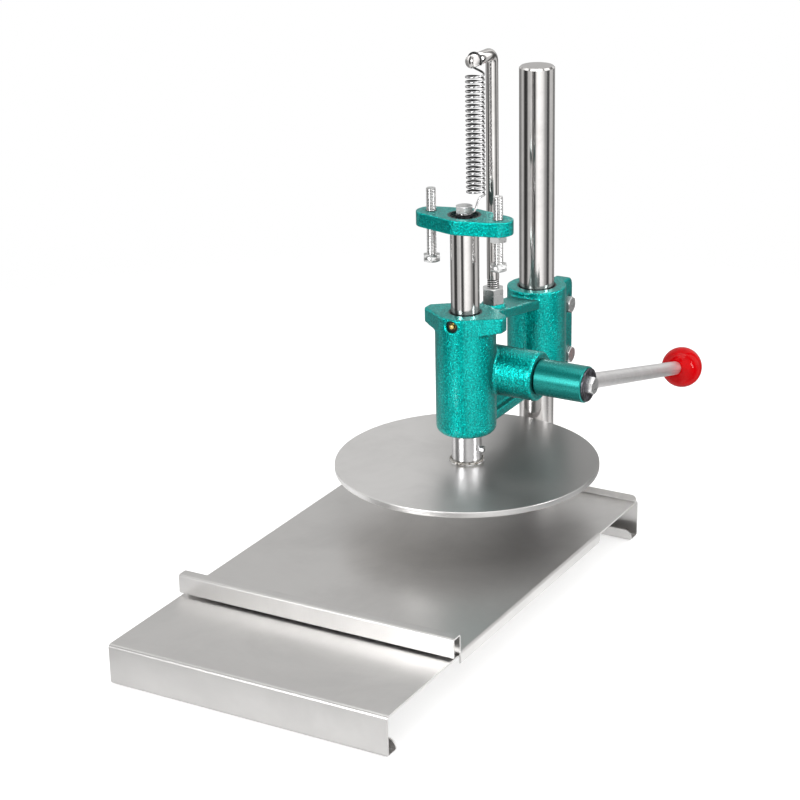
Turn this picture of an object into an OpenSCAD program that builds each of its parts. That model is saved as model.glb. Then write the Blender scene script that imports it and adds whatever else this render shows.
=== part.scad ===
// Pizza dough press. A hand lever turns a pinion, the pinion drives a round ram down a
// cast head, and the ram's disc flattens dough on a sliding tray. Lengths are millimetres,
// +Z is up and +Y points to the column. The origin is on the table, under the ram's axis.

/* [Base sheet] */
// Width of the base, side to side
base_w = 238.5; // [200:0.5:300]
// Length of the base, front to back
base_len = 424; // [400:1:450]
// From the column's axis to the base's rear
base_setback = 48; // [47:0.5:60]
// Height of the base's top over the table
base_h = 33; // [30:0.5:45]
// Thickness of the base's sheet
base_t = 1.5; // [1:0.1:2]
// Outer radius of the base's bends
base_bend_r = 3; // [2.5:0.5:5]
// Depth of the hem folded in under each skirt
base_hem = 12.5; // [10:0.5:15]
// Height of the edge turned up at the end of the hem
base_hem_edge = 9.5; // [8:0.5:14]
// Radius of that edge's corners
hem_corner_r = 7; // [3:0.5:8]
// Radius of the skirt's lower corners
skirt_corner_r = 3; // [1:0.5:6]

/* [Rail] */
// Width of the rail under the base
rail_w = 60; // [58:1:80]
// Wall of the rail
rail_wall = 3; // [2:0.5:5]
// Outer corner radius of the rail
rail_corner_r = 4; // [3.5:0.5:6]
// From the base's front to the rail's front
rail_inset = 16; // [15:1:60]
// From the column's axis to the rail's rear end
rail_tail = 30; // [29:1:50]
// Diameter of the countersunk screws that hold the base on the rail
base_screw_d = 5; // [4:1:6]
// From the base's rear to the rear screws
base_screw_inset = 42; // [30:1:60]
// Distance between the front and the rear screws
base_screw_pitch = 238; // [100:1:250]
// Sideways distance between those screws
base_screw_span = 34; // [20:1:38]

/* [Tray] */
// Thickness of the tray's sheet
tray_t = 1.2; // [0.8:0.1:1.5]
// From the ram's axis to the tray's front riser
tray_reach = 236.8; // [200:0.1:240]
// From the base's rear to the tray's upstand
tray_setback = 6.7; // [6:0.1:20]
// Outer radius of the tray's bends
tray_bend_r = 2; // [1.6:0.1:3]
// Height of the lip over the tray's top
lip_h = 15.5; // [10:0.5:20]
// Depth of the lip, front to back
lip_depth = 10.6; // [8:0.1:20]
// Height of the lip's turned-down front
lip_drop = 15.2; // [8:0.1:15.2]
// Height of the tray's side flanges
tray_flange_h = 8.4; // [4:0.1:12]
// Length of the tray's side flanges
tray_flange_len = 240.8; // [150:0.1:260]
// Radius of the flanges' rear corners
flange_corner_r = 4; // [1:0.5:6]
// Height of the tray's rear upstand
upstand_h = 5.5; // [3:0.1:5.5]
// Radius of the upstand's corners
upstand_corner_r = 4; // [1:0.5:5]

/* [Column] */
// Diameter of the column
column_d = 30; // [25:0.5:34]
// Height of the column's top over the table
column_top = 384; // [370:1:450]
// From the ram's axis to the column's axis
throat = 130; // [128:0.5:160]
// Chamfer at the column's top
column_chamfer = 1.5; // [0.5:0.5:3]
// Diameter of the threaded spigot under the column
spigot_d = 16; // [12:1:18]
// Diameter of the foot's flange
foot_d = 58; // [56:1:58]
// Thickness of the foot's flange
foot_t = 8; // [6:0.5:8]
// Height of the foot's neck over its flange
neck_h = 16; // [10:1:30]
// Wall of the foot's neck
neck_wall = 3.5; // [2.5:0.5:3.5]
// Thickness of the floor under the column
foot_floor = 3; // [2:0.5:5]
// Diameter of the foot's bolts
foot_bolt_d = 5; // [4:1:5]
// Diameter of the foot's bolt circle
foot_bolt_circle = 47; // [47:0.2:47.4]
// Turn of the foot's bolts from the X axis
foot_bolt_angle = 35; // [30:1:37]

/* [Head] */
// Height of the head's underside over the table
head_z = 104.5; // [104.5:0.5:120]
// Diameter of the barrel that guides the ram
barrel_d = 50; // [46:0.5:54]
// Length of the barrel
barrel_len = 103.5; // [100:0.5:110]
// Radius of the barrel's lower edge
barrel_edge_r = 6; // [1:0.5:6]
// Span of the two ears at the barrel's top
ear_span = 71.5; // [70:0.5:84]
// Width of an ear's end
ear_w = 13.5; // [12:0.5:26]
// Corner radius of the ears
ear_corner_r = 4; // [1:0.5:5]
// Thickness of an ear's end
ear_t = 12.5; // [8:0.5:14]
// Height of the slope under an ear
ear_slope_h = 1.5; // [0.5:0.5:14]
// Diameter of the clamp boss round the column
clamp_d = 51; // [46:0.5:56]
// Length of the clamp boss
clamp_len = 88.5; // [80:0.5:100]
// Width over the clamp's two lugs
lug_w = 30; // [26:0.5:36]
// From the column's axis to the lugs' rear
lug_reach = 40.5; // [40.5:0.5:44]
// Height of the lugs' underside over the head's
lug_bottom = 8.5; // [4:0.5:12]
// Length of the lugs
lug_len = 78.7; // [70:0.1:84]
// Corner radius of the lugs
lug_corner_r = 7; // [2:0.5:9]
// Width of the clamp's slit
slit_w = 3; // [2:0.5:4]
// Diameter of the clamp bolts
clamp_bolt_d = 8; // [6:1:10]
// From the column's axis to the clamp bolts
clamp_bolt_reach = 32; // [30:0.5:32]
// Heights of the clamp bolts over the head's underside
clamp_bolt_heights = [17.5, 63.5];

/* [Arm] */
// Width of the arm's top bar
bar_w = 27; // [20:0.5:34]
// Thickness of the arm's top bar
bar_t = 8; // [6:0.5:12]
// Height of the bar's front over the head's underside
bar_front_h = 99; // [92:0.5:100]
// Height of the bar's rear over the head's underside
bar_rear_h = 83.5; // [80:0.5:86]
// Thickness of the arm's web
web_t = 12; // [11:0.5:16]
// Width of the foot along the web
web_foot_w = 24; // [20:0.5:34]
// Thickness of the foot along the web
web_foot_t = 8; // [5:0.5:12]
// From the ram's axis to the window's front
window_front = 33; // [30:0.5:36]
// Height of the window's sill over the head's underside
window_sill = 31.5; // [26:0.5:60]
// Height of the rib over the window
window_rib = 2.5; // [1:0.5:5]

/* [Ram] */
// Diameter of the ram
ram_d = 23.5; // [23:0.5:26]
// Length of the ram over its socket
ram_len = 173.3; // [172:0.1:190]
// Diameter of the ram's nose
nose_d = 16; // [12:0.5:17]
// Length of the ram's nose
nose_len = 21; // [14:0.5:24]
// Module of the rack and the pinion
gear_module = 2; // [1.9:0.05:2]
// Number of gaps in the rack
rack_gaps = 10; // [9:1:11]
// Number of rack gaps below the pinion when the ram is up
rack_gaps_below = 2; // [2:1:3]
// Pressure angle of the teeth
pressure_angle = 20; // [20:0.5:22]
// Clearance on each flank of the teeth
flank_gap = 0.06; // [0.04:0.01:0.1]

/* [Pinion and lever] */
// Number of teeth on the pinion
pinion_teeth = 11; // [11:1:12]
// From the ram's axis to the pinion's axis
pinion_offset = 20; // [20:0.1:20.4]
// Height of the pinion's axis over the head's underside
pinion_h = 50; // [46:0.5:52]
// Length of the pinion's teeth
pinion_w = 24; // [22:0.5:26]
// Diameter of the pinion's boss
boss_d = 41; // [38:0.5:44]
// From the ram's axis to the boss's right face
boss_right = 58; // [50:0.5:64]
// From the ram's axis to the boss's left face
boss_left = 25; // [23:0.5:30]
// Rounding of the boss's rims
boss_edge_r = 1.5; // [0.5:0.5:3]
// Diameter of the shaft's left journal
left_journal_d = 16; // [12:0.5:16]
// Length of the shaft's left journal
left_journal_len = 8; // [6:0.5:9]
// Diameter of the shaft inside the hub
hub_bore_d = 20; // [16:0.5:22]
// Diameter of the lever's hub
hub_d = 30; // [28:0.5:34]
// Length of the lever's hub
hub_len = 42.1; // [36:0.1:50]
// From the hub's outer end to the lever
lever_inset = 8.9; // [8.5:0.1:14]
// Angle of the lever under the horizontal
lever_drop_angle = 14.7; // [0:0.1:30]
// From the pinion's axis to the knob's centre
lever_len = 224.9; // [200:0.1:230]
// Diameter of the lever at the hub
lever_root_d = 13.5; // [12:0.5:16]
// Diameter of the lever at the knob
lever_tip_d = 12; // [10.5:0.5:12]
// Diameter of the lever's threaded ends
lever_thread_d = 10; // [8:0.5:10]
// Diameter of the knob
knob_d = 36; // [32:0.5:40]
// Diameter of the flat on the knob
knob_flat_d = 14.4; // [13:0.1:18]

/* [Yoke] */
// Span of the yoke plate, end to end
yoke_span = 85.4; // [85:0.1:92]
// Distance between the stop bolts
stop_span = 60.6; // [60:0.1:64]
// Width of the yoke plate at its middle
yoke_w = 40; // [36:0.5:44]
// Thickness of the yoke plate
yoke_t = 12; // [10:0.5:14]
// Diameter of the recess in the yoke plate
recess_d = 23; // [22:0.5:26]
// Depth of the recess in the yoke plate
recess_h = 2.5; // [1.5:0.5:3]
// Diameter of the stop bolts and the yoke bolt
bolt_d = 8; // [7:0.5:8]
// Length of the stop bolts' shanks
stop_len = 55.7; // [50:0.1:62]
// Height of the stop bolts' tips over the yoke plate
stop_tip = 18.5; // [12:0.5:24]

/* [Disc] */
// Diameter of the pressing disc
disc_d = 220; // [180:1:222]
// Thickness of the pressing disc
disc_t = 5; // [3:0.5:6]
// Diameter of the disc's socket
socket_d = 25; // [25:0.5:27]
// Height of the disc's socket
socket_h = 26.2; // [22:0.1:26.2]
// Diameter of the socket's set screw
set_screw_d = 6; // [4:1:6]
// Height of the set screw over the disc
set_screw_h = 11; // [9:0.5:14]
// Direction of the set screw round the socket
set_screw_angle = 8; // [-30:1:30]

/* [Spring] */
// Diameter of the spring post
post_d = 10.2; // [9:0.2:10.2]
// From the ram's axis to the post
post_offset = 49; // [47:0.5:52]
// Height of the post's arm over the barrel's top
post_rise = 202.2; // [200:0.1:230]
// Radius of the bend in the post
post_bend_r = 7; // [6:0.5:12]
// Length of the post's arm, from the post's axis
post_arm = 35.8; // [34:0.1:38]
// Diameter of the spring's wire
wire_d = 1.7; // [1.2:0.1:1.8]
// Outer diameter of the spring
spring_d = 16; // [14:0.5:18]
// Number of turns of the spring, in eighths of a turn
spring_eighths = 201; // [160:1:201]
// From the ram's axis to the spring's axis
spring_offset = 20; // [19:0.5:21]
// Height of the coils' lower end over the yoke plate
spring_rise = 11.5; // [10:0.5:14]
// Room between the coils and the post's arm
spring_room = 6.1; // [5:0.1:9]

/* [Hidden] */
$fn = 64;

// Clearances: a turning or sliding fit, a fixed fit, a clear gap, and the overrun of cuts
run_gap = 0.05;
fix_gap = 0.05;
air_gap = 0.3;
tray_seat_gap = 0.5;
bolt_gap = 0.2;
over = 1;

// Proportions of metric fasteners, as shares of the thread's diameter
nut_af_share = 1.625;
nut_h_share = 0.8;
thin_nut_h_share = 0.5;
head_h_share = 0.66;
hex_flat_share = 0.95;
sunk_head_share = 1.92;
nut_chamfer_share = 0.5;
socket_share = 0.58;

// Base and rail
rear_y = throat - base_setback;
front_y = rear_y - base_len;
rail_h = base_h - base_t;
rail_front = front_y + rail_inset;
rail_rear = throat + rail_tail;
base_screw_len = base_t + rail_wall + base_screw_d * nut_h_share + over;

// Tray
tray_w = base_w + 2 * (air_gap + tray_t);
tray_under = base_h + tray_seat_gap;
tray_top = tray_under + tray_t;
tray_front = -tray_reach;
tray_rear = rear_y - tray_setback;
tray_len = tray_rear - tray_front;
lip_top = tray_top + lip_h;

// Column and foot
foot_bottom = rail_h;
column_bottom = foot_bottom + foot_floor;
spigot_len = foot_floor + rail_wall + spigot_d * thin_nut_h_share + over;
foot_bolt_len = foot_t + rail_wall + foot_bolt_d * nut_h_share + over;
foot_bolt_turns = [foot_bolt_angle, 180 - foot_bolt_angle, 180 + foot_bolt_angle, -foot_bolt_angle];

// Head
barrel_top = head_z + barrel_len;
shaft_z = head_z + pinion_h;
bar_start = ram_d / 2 + over;
bar_end = throat - column_d / 2 - over;
clamp_front = throat - clamp_d / 2;
lug_head_sink = 1.5;
post_boss_d = 19;
post_boss_foot_d = 27;
post_boss_rise = 4;
post_hole_len = 12;
oiler_d = 10;
oiler_sink = 5;
oiler_drop = 6.2;
oiler_ball_share = 0.5;
keeper_d = 6;
keeper_x = (pinion_w / 2 + boss_right) / 2;
keeper_tip_d = 4;
keeper_groove = 1.6;
bore_chamfer = 1;

// Gear: the rack's tips are short, so that they clear the small pinion's roots
tooth_pitch = PI * gear_module;
pinion_pitch_r = gear_module * pinion_teeth / 2;
pinion_tip_r = pinion_pitch_r + gear_module;
rack_tip_share = 0.6;
root_share = 1.25;
pinion_root_r = pinion_pitch_r - gear_module;
journal_r = pinion_tip_r + run_gap;
rack_pitch_y = pinion_offset - pinion_pitch_r;
rack_tip_y = rack_pitch_y + rack_tip_share * gear_module;
rack_root_y = rack_pitch_y - root_share * gear_module;
rack_low = shaft_z - (rack_gaps_below + 0.5) * tooth_pitch;
rack_high = rack_low + rack_gaps * tooth_pitch;
flank_steps = 6;

// Ram, disc and yoke
ram_bottom = head_z - air_gap;
ram_top = ram_bottom + ram_len;
disc_top = ram_bottom - socket_h;
disc_bottom = disc_top - disc_t;
yoke_top = ram_top + yoke_t;
recess_floor = yoke_top - recess_h;
yoke_end_r = (yoke_span - stop_span) / 2;
stop_x = stop_span / 2;
stop_head_top = yoke_top + stop_tip - stop_len;
hook_z = yoke_top + wire_d / 2 + air_gap;
hook_gap = air_gap;
yoke_bolt_seat = hook_z + wire_d / 2 + hook_gap;
yoke_bolt_len = yoke_bolt_seat - ram_top + 2 * bolt_d;
spacer_d = 14;
disc_edge = 0.5;
set_screw_out = 3;
weld_w = 2.2;

// Shaft and lever
shaft_right = boss_right - air_gap;
hub_left = boss_right + air_gap;
hub_right = hub_left + hub_len;
shaft_end = hub_right - over;
lever_x = hub_right - lever_inset;
lever_bite = 4;
hub_chamfer = 0.8;
knob_flat_y = lever_len - sqrt(pow(knob_d / 2, 2) - pow(knob_flat_d / 2, 2));
hub_washer_d = 27.5;
hub_washer_t = 1.6;
hub_bolt_len = 18;

// Spring: coils between two hooks, one round the yoke bolt and one round the post's arm
post_arm_z = barrel_top + post_rise;
coil_r = (spring_d - wire_d) / 2;
coil_low = yoke_top + spring_rise;
coil_high = post_arm_z - post_d / 2 - spring_room;
coil_start_angle = -20;
coil_steps = 8;
coil_pitch = coil_steps * (coil_high - coil_low) / spring_eighths;
low_hook_r = bolt_d / 2 + wire_d / 2 + hook_gap;
high_hook_r = post_d / 2 + wire_d / 2 + hook_gap;
wire_sides = 6;
join_steps = 6;
hook_handle_share = 0.45;
low_hook_turn = 225;
low_hook_steps = 5;
high_hook_turn = 280;
high_hook_start = -110;
high_hook_steps = 7;

// A rectangle from the origin with four rounded corners
module round_rect(w, h, r) {
    translate([r, 0]) square([w - 2 * r, h]);
    translate([0, r]) square([w, h - 2 * r]);
    for (x = [r, w - r], y = [r, h - r]) translate([x, y]) circle(r);
}

// The section of a box that is folded from sheet
module sheet_box(w, h, r, t) {
    difference() {
        round_rect(w, h, r);
        translate([t, t]) round_rect(w - 2 * t, h - 2 * t, r - t);
    }
}

// What a rounded corner leaves out: the corner is at the origin and its plate lies at +x, +y
module corner_waste(r) {
    difference() {
        translate([-over, -over]) square(r + over);
        translate([r, r]) circle(r);
    }
}

// Extrudes a drawing of Y and Z over the width w, centred on X
module along_x(w) {
    translate([-w / 2, 0, 0]) rotate([90, 0, 90]) linear_extrude(w) children();
}

// Extrudes a drawing of X and Z from y0 to y1
module along_y(y0, y1) {
    translate([0, y1, 0]) rotate([90, 0, 0]) linear_extrude(y1 - y0) children();
}

// A round bar of diameter d along X, from x0 to x1
module bar_x(d, x0, x1) {
    translate([x0, 0, 0]) rotate([0, 90, 0]) cylinder(d = d, h = x1 - x0);
}

// A hexagonal nut or head that stands on z = 0, with its corners turned off at the top
module hexagon(af, h) {
    corner_r = af / sqrt(3);
    flat_r = af / 2 * hex_flat_share;
    slope = (corner_r - flat_r) * nut_chamfer_share;
    intersection() {
        cylinder(r = corner_r, h = h, $fn = 6);
        rotate_extrude() polygon([[0, 0], [corner_r, 0], [corner_r, h - slope], [flat_r, h], [0, h]]);
    }
}

// A nut of thread d on z = 0
module nut(d, h) {
    difference() {
        hexagon(d * nut_af_share, h);
        translate([0, 0, -over]) cylinder(d = d + fix_gap, h = h + 2 * over);
    }
}

// A hexagonal bolt: its head stands on z = 0 and its shank hangs down
module bolt(d, length) {
    hexagon(d * nut_af_share, d * head_h_share);
    translate([0, 0, -length]) cylinder(d = d, h = length);
}

// A countersunk screw with its flat top at z = 0
module sunk_screw(d, length, gap) {
    sink = d * (sunk_head_share - 1) / 2;
    translate([0, 0, -length]) cylinder(d = d + 2 * gap, h = length);
    translate([0, 0, -sink]) cylinder(d1 = d + 2 * gap, d2 = d * sunk_head_share + 2 * gap, h = sink);
}

// Base sheet

module base_section() {
    keep = base_hem - base_bend_r;
    difference() {
        translate([front_y, 0]) sheet_box(base_len, base_h, base_bend_r, base_t);
        translate([front_y + keep, -over]) square([base_len - 2 * keep, base_t + 2 * over]);
    }
    for (side = [0, 1]) translate([side ? rear_y : front_y, 0]) mirror([side, 0])
        intersection() {
            sheet_box(base_hem, 2 * base_hem_edge, base_bend_r, base_t);
            translate([keep, 0]) square([base_bend_r, base_hem_edge]);
        }
}

module at_base_screws() {
    for (x = [-base_screw_span / 2, base_screw_span / 2], y = [0, base_screw_pitch])
        translate([x, rear_y - base_screw_inset - y, base_h]) children();
}

module base_sheet() {
    color([0.77, 0.76, 0.73]) difference() {
        along_x(base_w) base_section();
        for (side = [0, 1]) mirror([side, 0, 0]) {
            translate([-base_w / 2, 0, 0]) along_y(front_y - over, rear_y + over)
                corner_waste(skirt_corner_r);
            for (y = [front_y + base_hem, rear_y - base_hem])
                translate([-base_w / 2, 0, base_hem_edge]) along_y(y - base_bend_r, y + base_bend_r)
                    mirror([0, 1]) corner_waste(hem_corner_r);
        }
        along_y(rear_y - base_hem - over, rear_y + over)
            translate([-rail_w / 2 - air_gap, -over]) square([rail_w + 2 * air_gap, rail_h + over]);
        at_base_screws() sunk_screw(base_screw_d, base_screw_len, fix_gap);
    }
}

// Rail

module base_rail() {
    color([0.72, 0.72, 0.72]) difference() {
        translate([-rail_w / 2, 0, 0]) along_y(rail_front, rail_rear)
            sheet_box(rail_w, rail_h, rail_corner_r, rail_wall);
        at_base_screws() sunk_screw(base_screw_d, base_screw_len, fix_gap);
        translate([0, throat, 0]) {
            translate([0, 0, rail_h - rail_wall - over])
                cylinder(d = spigot_d + 2 * fix_gap, h = rail_wall + 2 * over);
            at_foot_bolts() translate([0, 0, rail_h - rail_wall - over])
                cylinder(d = foot_bolt_d + 2 * fix_gap, h = rail_wall + 2 * over);
        }
    }
}

module base_screws() {
    color("gainsboro") at_base_screws() sunk_screw(base_screw_d, base_screw_len, 0);
}

module base_screw_nuts() {
    nut_h = base_screw_d * nut_h_share;
    color("gainsboro") at_base_screws()
        translate([0, 0, -base_t - rail_wall - nut_h]) nut(base_screw_d, nut_h);
}

// Column and foot

module at_foot_bolts() {
    for (a = foot_bolt_turns) rotate([0, 0, a]) translate([foot_bolt_circle / 2, 0, 0]) children();
}

module column() {
    color([0.86, 0.86, 0.87]) translate([0, throat, 0]) {
        translate([0, 0, column_bottom]) rotate_extrude() difference() {
            square([column_d / 2, column_top - column_bottom]);
            translate([column_d / 2, column_top - column_bottom]) rotate(45)
                square(column_chamfer * sqrt(2), center = true);
        }
        translate([0, 0, column_bottom - spigot_len]) cylinder(d = spigot_d, h = spigot_len);
    }
}

module column_foot() {
    neck_d = column_d + 2 * neck_wall;
    color([0.45, 0.46, 0.47]) translate([0, throat, foot_bottom]) difference() {
        union() {
            cylinder(d = foot_d, h = foot_t);
            cylinder(d = neck_d, h = foot_t + neck_h);
        }
        translate([0, 0, -over]) cylinder(d = spigot_d + 2 * fix_gap, h = foot_floor + 2 * over);
        translate([0, 0, foot_floor]) cylinder(d = column_d + 2 * fix_gap, h = foot_t + neck_h);
        at_foot_bolts() translate([0, 0, -over])
            cylinder(d = foot_bolt_d + 2 * fix_gap, h = foot_t + 2 * over);
    }
}

module foot_bolts() {
    color("gainsboro") translate([0, throat, foot_bottom + foot_t]) at_foot_bolts()
        bolt(foot_bolt_d, foot_bolt_len);
}

module foot_nuts() {
    nut_h = foot_bolt_d * nut_h_share;
    color("gainsboro") translate([0, throat, rail_h - rail_wall - nut_h]) at_foot_bolts()
        nut(foot_bolt_d, nut_h);
}

module column_nut() {
    nut_h = spigot_d * thin_nut_h_share;
    color("gainsboro") translate([0, throat, rail_h - rail_wall - nut_h]) nut(spigot_d, nut_h);
}

// Tray

module tray_section() {
    box_h = 2 * lip_h;
    split = tray_front + tray_len / 2;
    difference() {
        translate([tray_front - tray_t, tray_under])
            sheet_box(tray_len + tray_t, box_h, tray_bend_r, tray_t);
        translate([split, tray_top + upstand_h]) square([tray_len, box_h]);
        translate([tray_front - tray_t - over, lip_top - tray_bend_r]) square([tray_len, box_h]);
    }
    difference() {
        translate([tray_front - lip_depth, lip_top - box_h])
            sheet_box(lip_depth, box_h, tray_bend_r, tray_t);
        translate([tray_front - lip_depth - over, lip_top - box_h - over])
            square([lip_depth + 2 * over, box_h - lip_drop + over]);
        translate([tray_front - lip_depth / 2, lip_top - box_h]) square([lip_depth, box_h - tray_bend_r]);
    }
}

module tray() {
    flange_y = tray_front + tray_flange_len;
    flange_low = tray_top - tray_flange_h;
    color([0.73, 0.72, 0.69]) {
        difference() {
            along_x(tray_w) tray_section();
            for (side = [0, 1]) mirror([side, 0, 0]) {
                translate([-tray_w / 2 - over, tray_front, tray_under - over])
                    cube([tray_bend_r + over, tray_flange_len, tray_t + 2 * over]);
                translate([-tray_w / 2, 0, tray_top + upstand_h])
                    along_y(tray_rear - tray_bend_r - over, tray_rear + over)
                        mirror([0, 1]) corner_waste(upstand_corner_r);
            }
        }
        difference() {
            along_y(tray_front, flange_y) translate([-tray_w / 2, flange_low - tray_w / 2])
                sheet_box(tray_w, tray_flange_h + tray_w / 2, tray_bend_r, tray_t);
            translate([-tray_w, tray_front - over, -tray_w])
                cube([2 * tray_w, tray_len, tray_w + flange_low]);
            along_x(tray_w + 2 * over) translate([flange_y, flange_low])
                mirror([1, 0]) corner_waste(flange_corner_r);
        }
    }
}

// Head

// Plan of an ear at the barrel's top, on the +x side: its edges run onto the barrel
module ear_plan() {
    r = ear_corner_r;
    x = ear_span / 2 - r;
    y = ear_w / 2 - r;
    reach = barrel_d / 2 - fix_gap * 2;
    // Angle at which a line that touches both the barrel and the corner leaves them
    away = atan2(y, x) + acos((reach - r) / norm([x, y]));
    root = reach * [cos(away), sin(away)];
    tip = [x, y] + r * [cos(away), sin(away)];
    polygon([[0, -root[1]], [root[0], -root[1]], [tip[0], -tip[1]], [x + r, -y],
             [x + r, y], tip, root, [0, root[1]]]);
    for (s = [-1, 1]) translate([x, s * y]) circle(r);
}

module ears() {
    slope_low = barrel_top - ear_t - ear_slope_h;
    intersection() {
        translate([0, 0, slope_low]) linear_extrude(ear_t + ear_slope_h) {
            ear_plan();
            mirror([1, 0]) ear_plan();
        }
        along_y(-barrel_d, barrel_d) polygon([
            [-ear_span, barrel_top + over], [-ear_span / 2 - over, barrel_top - ear_t],
            [-ear_span / 2, barrel_top - ear_t], [-barrel_d / 2, slope_low], [barrel_d / 2, slope_low],
            [ear_span / 2, barrel_top - ear_t], [ear_span / 2 + over, barrel_top - ear_t],
            [ear_span, barrel_top + over]]);
    }
}

module barrel() {
    translate([0, 0, head_z]) rotate_extrude() difference() {
        square([barrel_d / 2, barrel_len]);
        translate([barrel_d / 2, 0]) mirror([1, 0]) corner_waste(barrel_edge_r);
    }
}

module pinion_boss() {
    length = boss_left + boss_right;
    translate([-boss_left, pinion_offset, shaft_z]) rotate([0, 90, 0]) rotate_extrude() difference() {
        square([boss_d / 2, length]);
        translate([boss_d / 2, 0]) mirror([1, 0]) corner_waste(boss_edge_r);
        translate([boss_d / 2, length]) mirror([1, 0]) mirror([0, 1]) corner_waste(boss_edge_r);
    }
}

// Height of the bar's top at a distance y behind the ram
function bar_top_at(y) = let (fall = (bar_front_h - bar_rear_h) / (clamp_front - bar_start))
    head_z + bar_front_h - fall * (y - bar_start);

module arm() {
    window_top = -bar_t - window_rib;
    along_x(bar_w) polygon([
        [bar_start, bar_top_at(bar_start)], [bar_end, bar_top_at(bar_end)],
        [bar_end, bar_top_at(bar_end) - bar_t], [bar_start, bar_top_at(bar_start) - bar_t]]);
    along_x(web_t) difference() {
        polygon([[bar_start, head_z + over], [bar_end, head_z + over],
                 [bar_end, bar_top_at(bar_end) - over], [bar_start, bar_top_at(bar_start) - over]]);
        polygon([[window_front, head_z + window_sill], [throat, head_z + window_sill],
                 [throat, bar_top_at(throat) + window_top],
                 [window_front, bar_top_at(window_front) + window_top]]);
    }
    along_x(web_foot_w) translate([bar_start, head_z]) square([bar_end - bar_start, web_foot_t]);
    translate([0, post_offset, 0]) {
        top = bar_top_at(post_offset) + post_boss_rise;
        foot = bar_top_at(post_offset) - bar_t / 2;
        translate([0, 0, foot]) cylinder(d1 = post_boss_foot_d, d2 = post_boss_d, h = top - foot);
    }
}

module clamp() {
    translate([0, throat, 0]) {
        translate([0, 0, head_z]) cylinder(d = clamp_d, h = clamp_len);
        along_x(lug_w) translate([0, head_z + lug_bottom]) round_rect(lug_reach, lug_len, lug_corner_r);
    }
}

// Places a child on the floor of the oiler's recess in the barrel's front, with +Z outwards
module at_oiler() {
    translate([0, -barrel_d / 2 + oiler_sink, barrel_top - oiler_drop]) rotate([90, 0, 0]) children();
}

// Places a child on each clamp bolt's axis, on the lugs' right face, with +Z outwards
module at_clamp_bolts(x) {
    for (h = clamp_bolt_heights) translate([x, throat + clamp_bolt_reach, head_z + h])
        rotate([0, 90, 0]) children();
}

// The chamfer at the top of a bore, with its mouth at z = 0
module bore_mouth(d) {
    translate([0, 0, -bore_chamfer])
        cylinder(r1 = d / 2, r2 = d / 2 + bore_chamfer + over, h = bore_chamfer + over);
}

module press_head() {
    spot_d = clamp_bolt_d * nut_af_share + 2 * bolt_gap + 2 * lug_head_sink;
    pocket = pinion_w / 2 + air_gap;
    post_seat = bar_top_at(post_offset) + post_boss_rise;
    color([0.0, 0.62, 0.58]) difference() {
        union() {
            barrel();
            ears();
            pinion_boss();
            arm();
            clamp();
        }
        // Bores of the ram and the column, and the slit that lets the clamp close
        translate([0, 0, head_z - over]) cylinder(d = ram_d + 2 * run_gap, h = barrel_len + 2 * over);
        translate([0, throat, head_z - over]) cylinder(d = column_d + 2 * run_gap, h = clamp_len + 2 * over);
        translate([0, 0, barrel_top]) bore_mouth(ram_d);
        translate([0, throat, head_z + clamp_len]) bore_mouth(column_d);
        translate([-slit_w / 2, throat, head_z - over])
            cube([slit_w, lug_reach + over, clamp_len + 2 * over]);
        // Bore of the pinion from the right, and its blind journal on the left
        translate([0, pinion_offset, shaft_z]) {
            bar_x(2 * (journal_r + run_gap), -pocket, boss_right + over);
            bar_x(left_journal_d + 2 * run_gap, -pinion_w / 2 - left_journal_len - air_gap, 0);
            translate([keeper_x, 0, -boss_d / 2 - over])
                cylinder(d = keeper_d + 2 * fix_gap, h = boss_d / 2);
        }
        // Clamp bolts, with a spot face under each head and each nut
        at_clamp_bolts(-lug_w) cylinder(d = clamp_bolt_d + bolt_gap, h = 2 * lug_w);
        at_clamp_bolts(lug_w / 2 - lug_head_sink) cylinder(d = spot_d, h = lug_w);
        at_clamp_bolts(-3 * lug_w / 2 + lug_head_sink) cylinder(d = spot_d, h = lug_w);
        // Spring post
        translate([0, post_offset, post_seat - post_hole_len])
            cylinder(d = post_d + 2 * fix_gap, h = post_hole_len + over);
        // Oiler
        at_oiler() cylinder(d = oiler_d, h = barrel_d);
    }
}

module clamp_bolts() {
    length = lug_w + clamp_bolt_d * nut_h_share - 2 * lug_head_sink;
    color("gainsboro") at_clamp_bolts(lug_w / 2 - lug_head_sink) bolt(clamp_bolt_d, length);
}

module clamp_nuts() {
    nut_h = clamp_bolt_d * nut_h_share;
    color("gainsboro") at_clamp_bolts(-lug_w / 2 + lug_head_sink) mirror([0, 0, 1]) nut(clamp_bolt_d, nut_h);
}

// A cup with the end of its ball valve standing out of it
module oiler() {
    color([0.78, 0.66, 0.25]) at_oiler() {
        cylinder(d = oiler_d - 2 * fix_gap, h = oiler_sink / 3);
        intersection() {
            translate([0, 0, oiler_sink / 2]) sphere(d = oiler_d * oiler_ball_share);
            cylinder(d = oiler_d, h = oiler_d);
        }
    }
}

// Screw from below whose tip runs in a groove of the pinion shaft and keeps the shaft in
module keeper_screw() {
    tip_h = journal_r - keeper_groove + air_gap;
    body_h = journal_r + run_gap + over;
    color([0.3, 0.3, 0.32]) translate([keeper_x, pinion_offset, shaft_z]) mirror([0, 0, 1]) {
        translate([0, 0, tip_h]) cylinder(d = keeper_tip_d, h = body_h - tip_h + over);
        difference() {
            translate([0, 0, body_h]) cylinder(d = keeper_d, h = boss_d / 2 - body_h + over);
            translate([0, 0, boss_d / 2 - over])
                cylinder(d = keeper_d * socket_share, h = 3 * over, $fn = 6);
        }
    }
}

// Spring post

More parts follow.
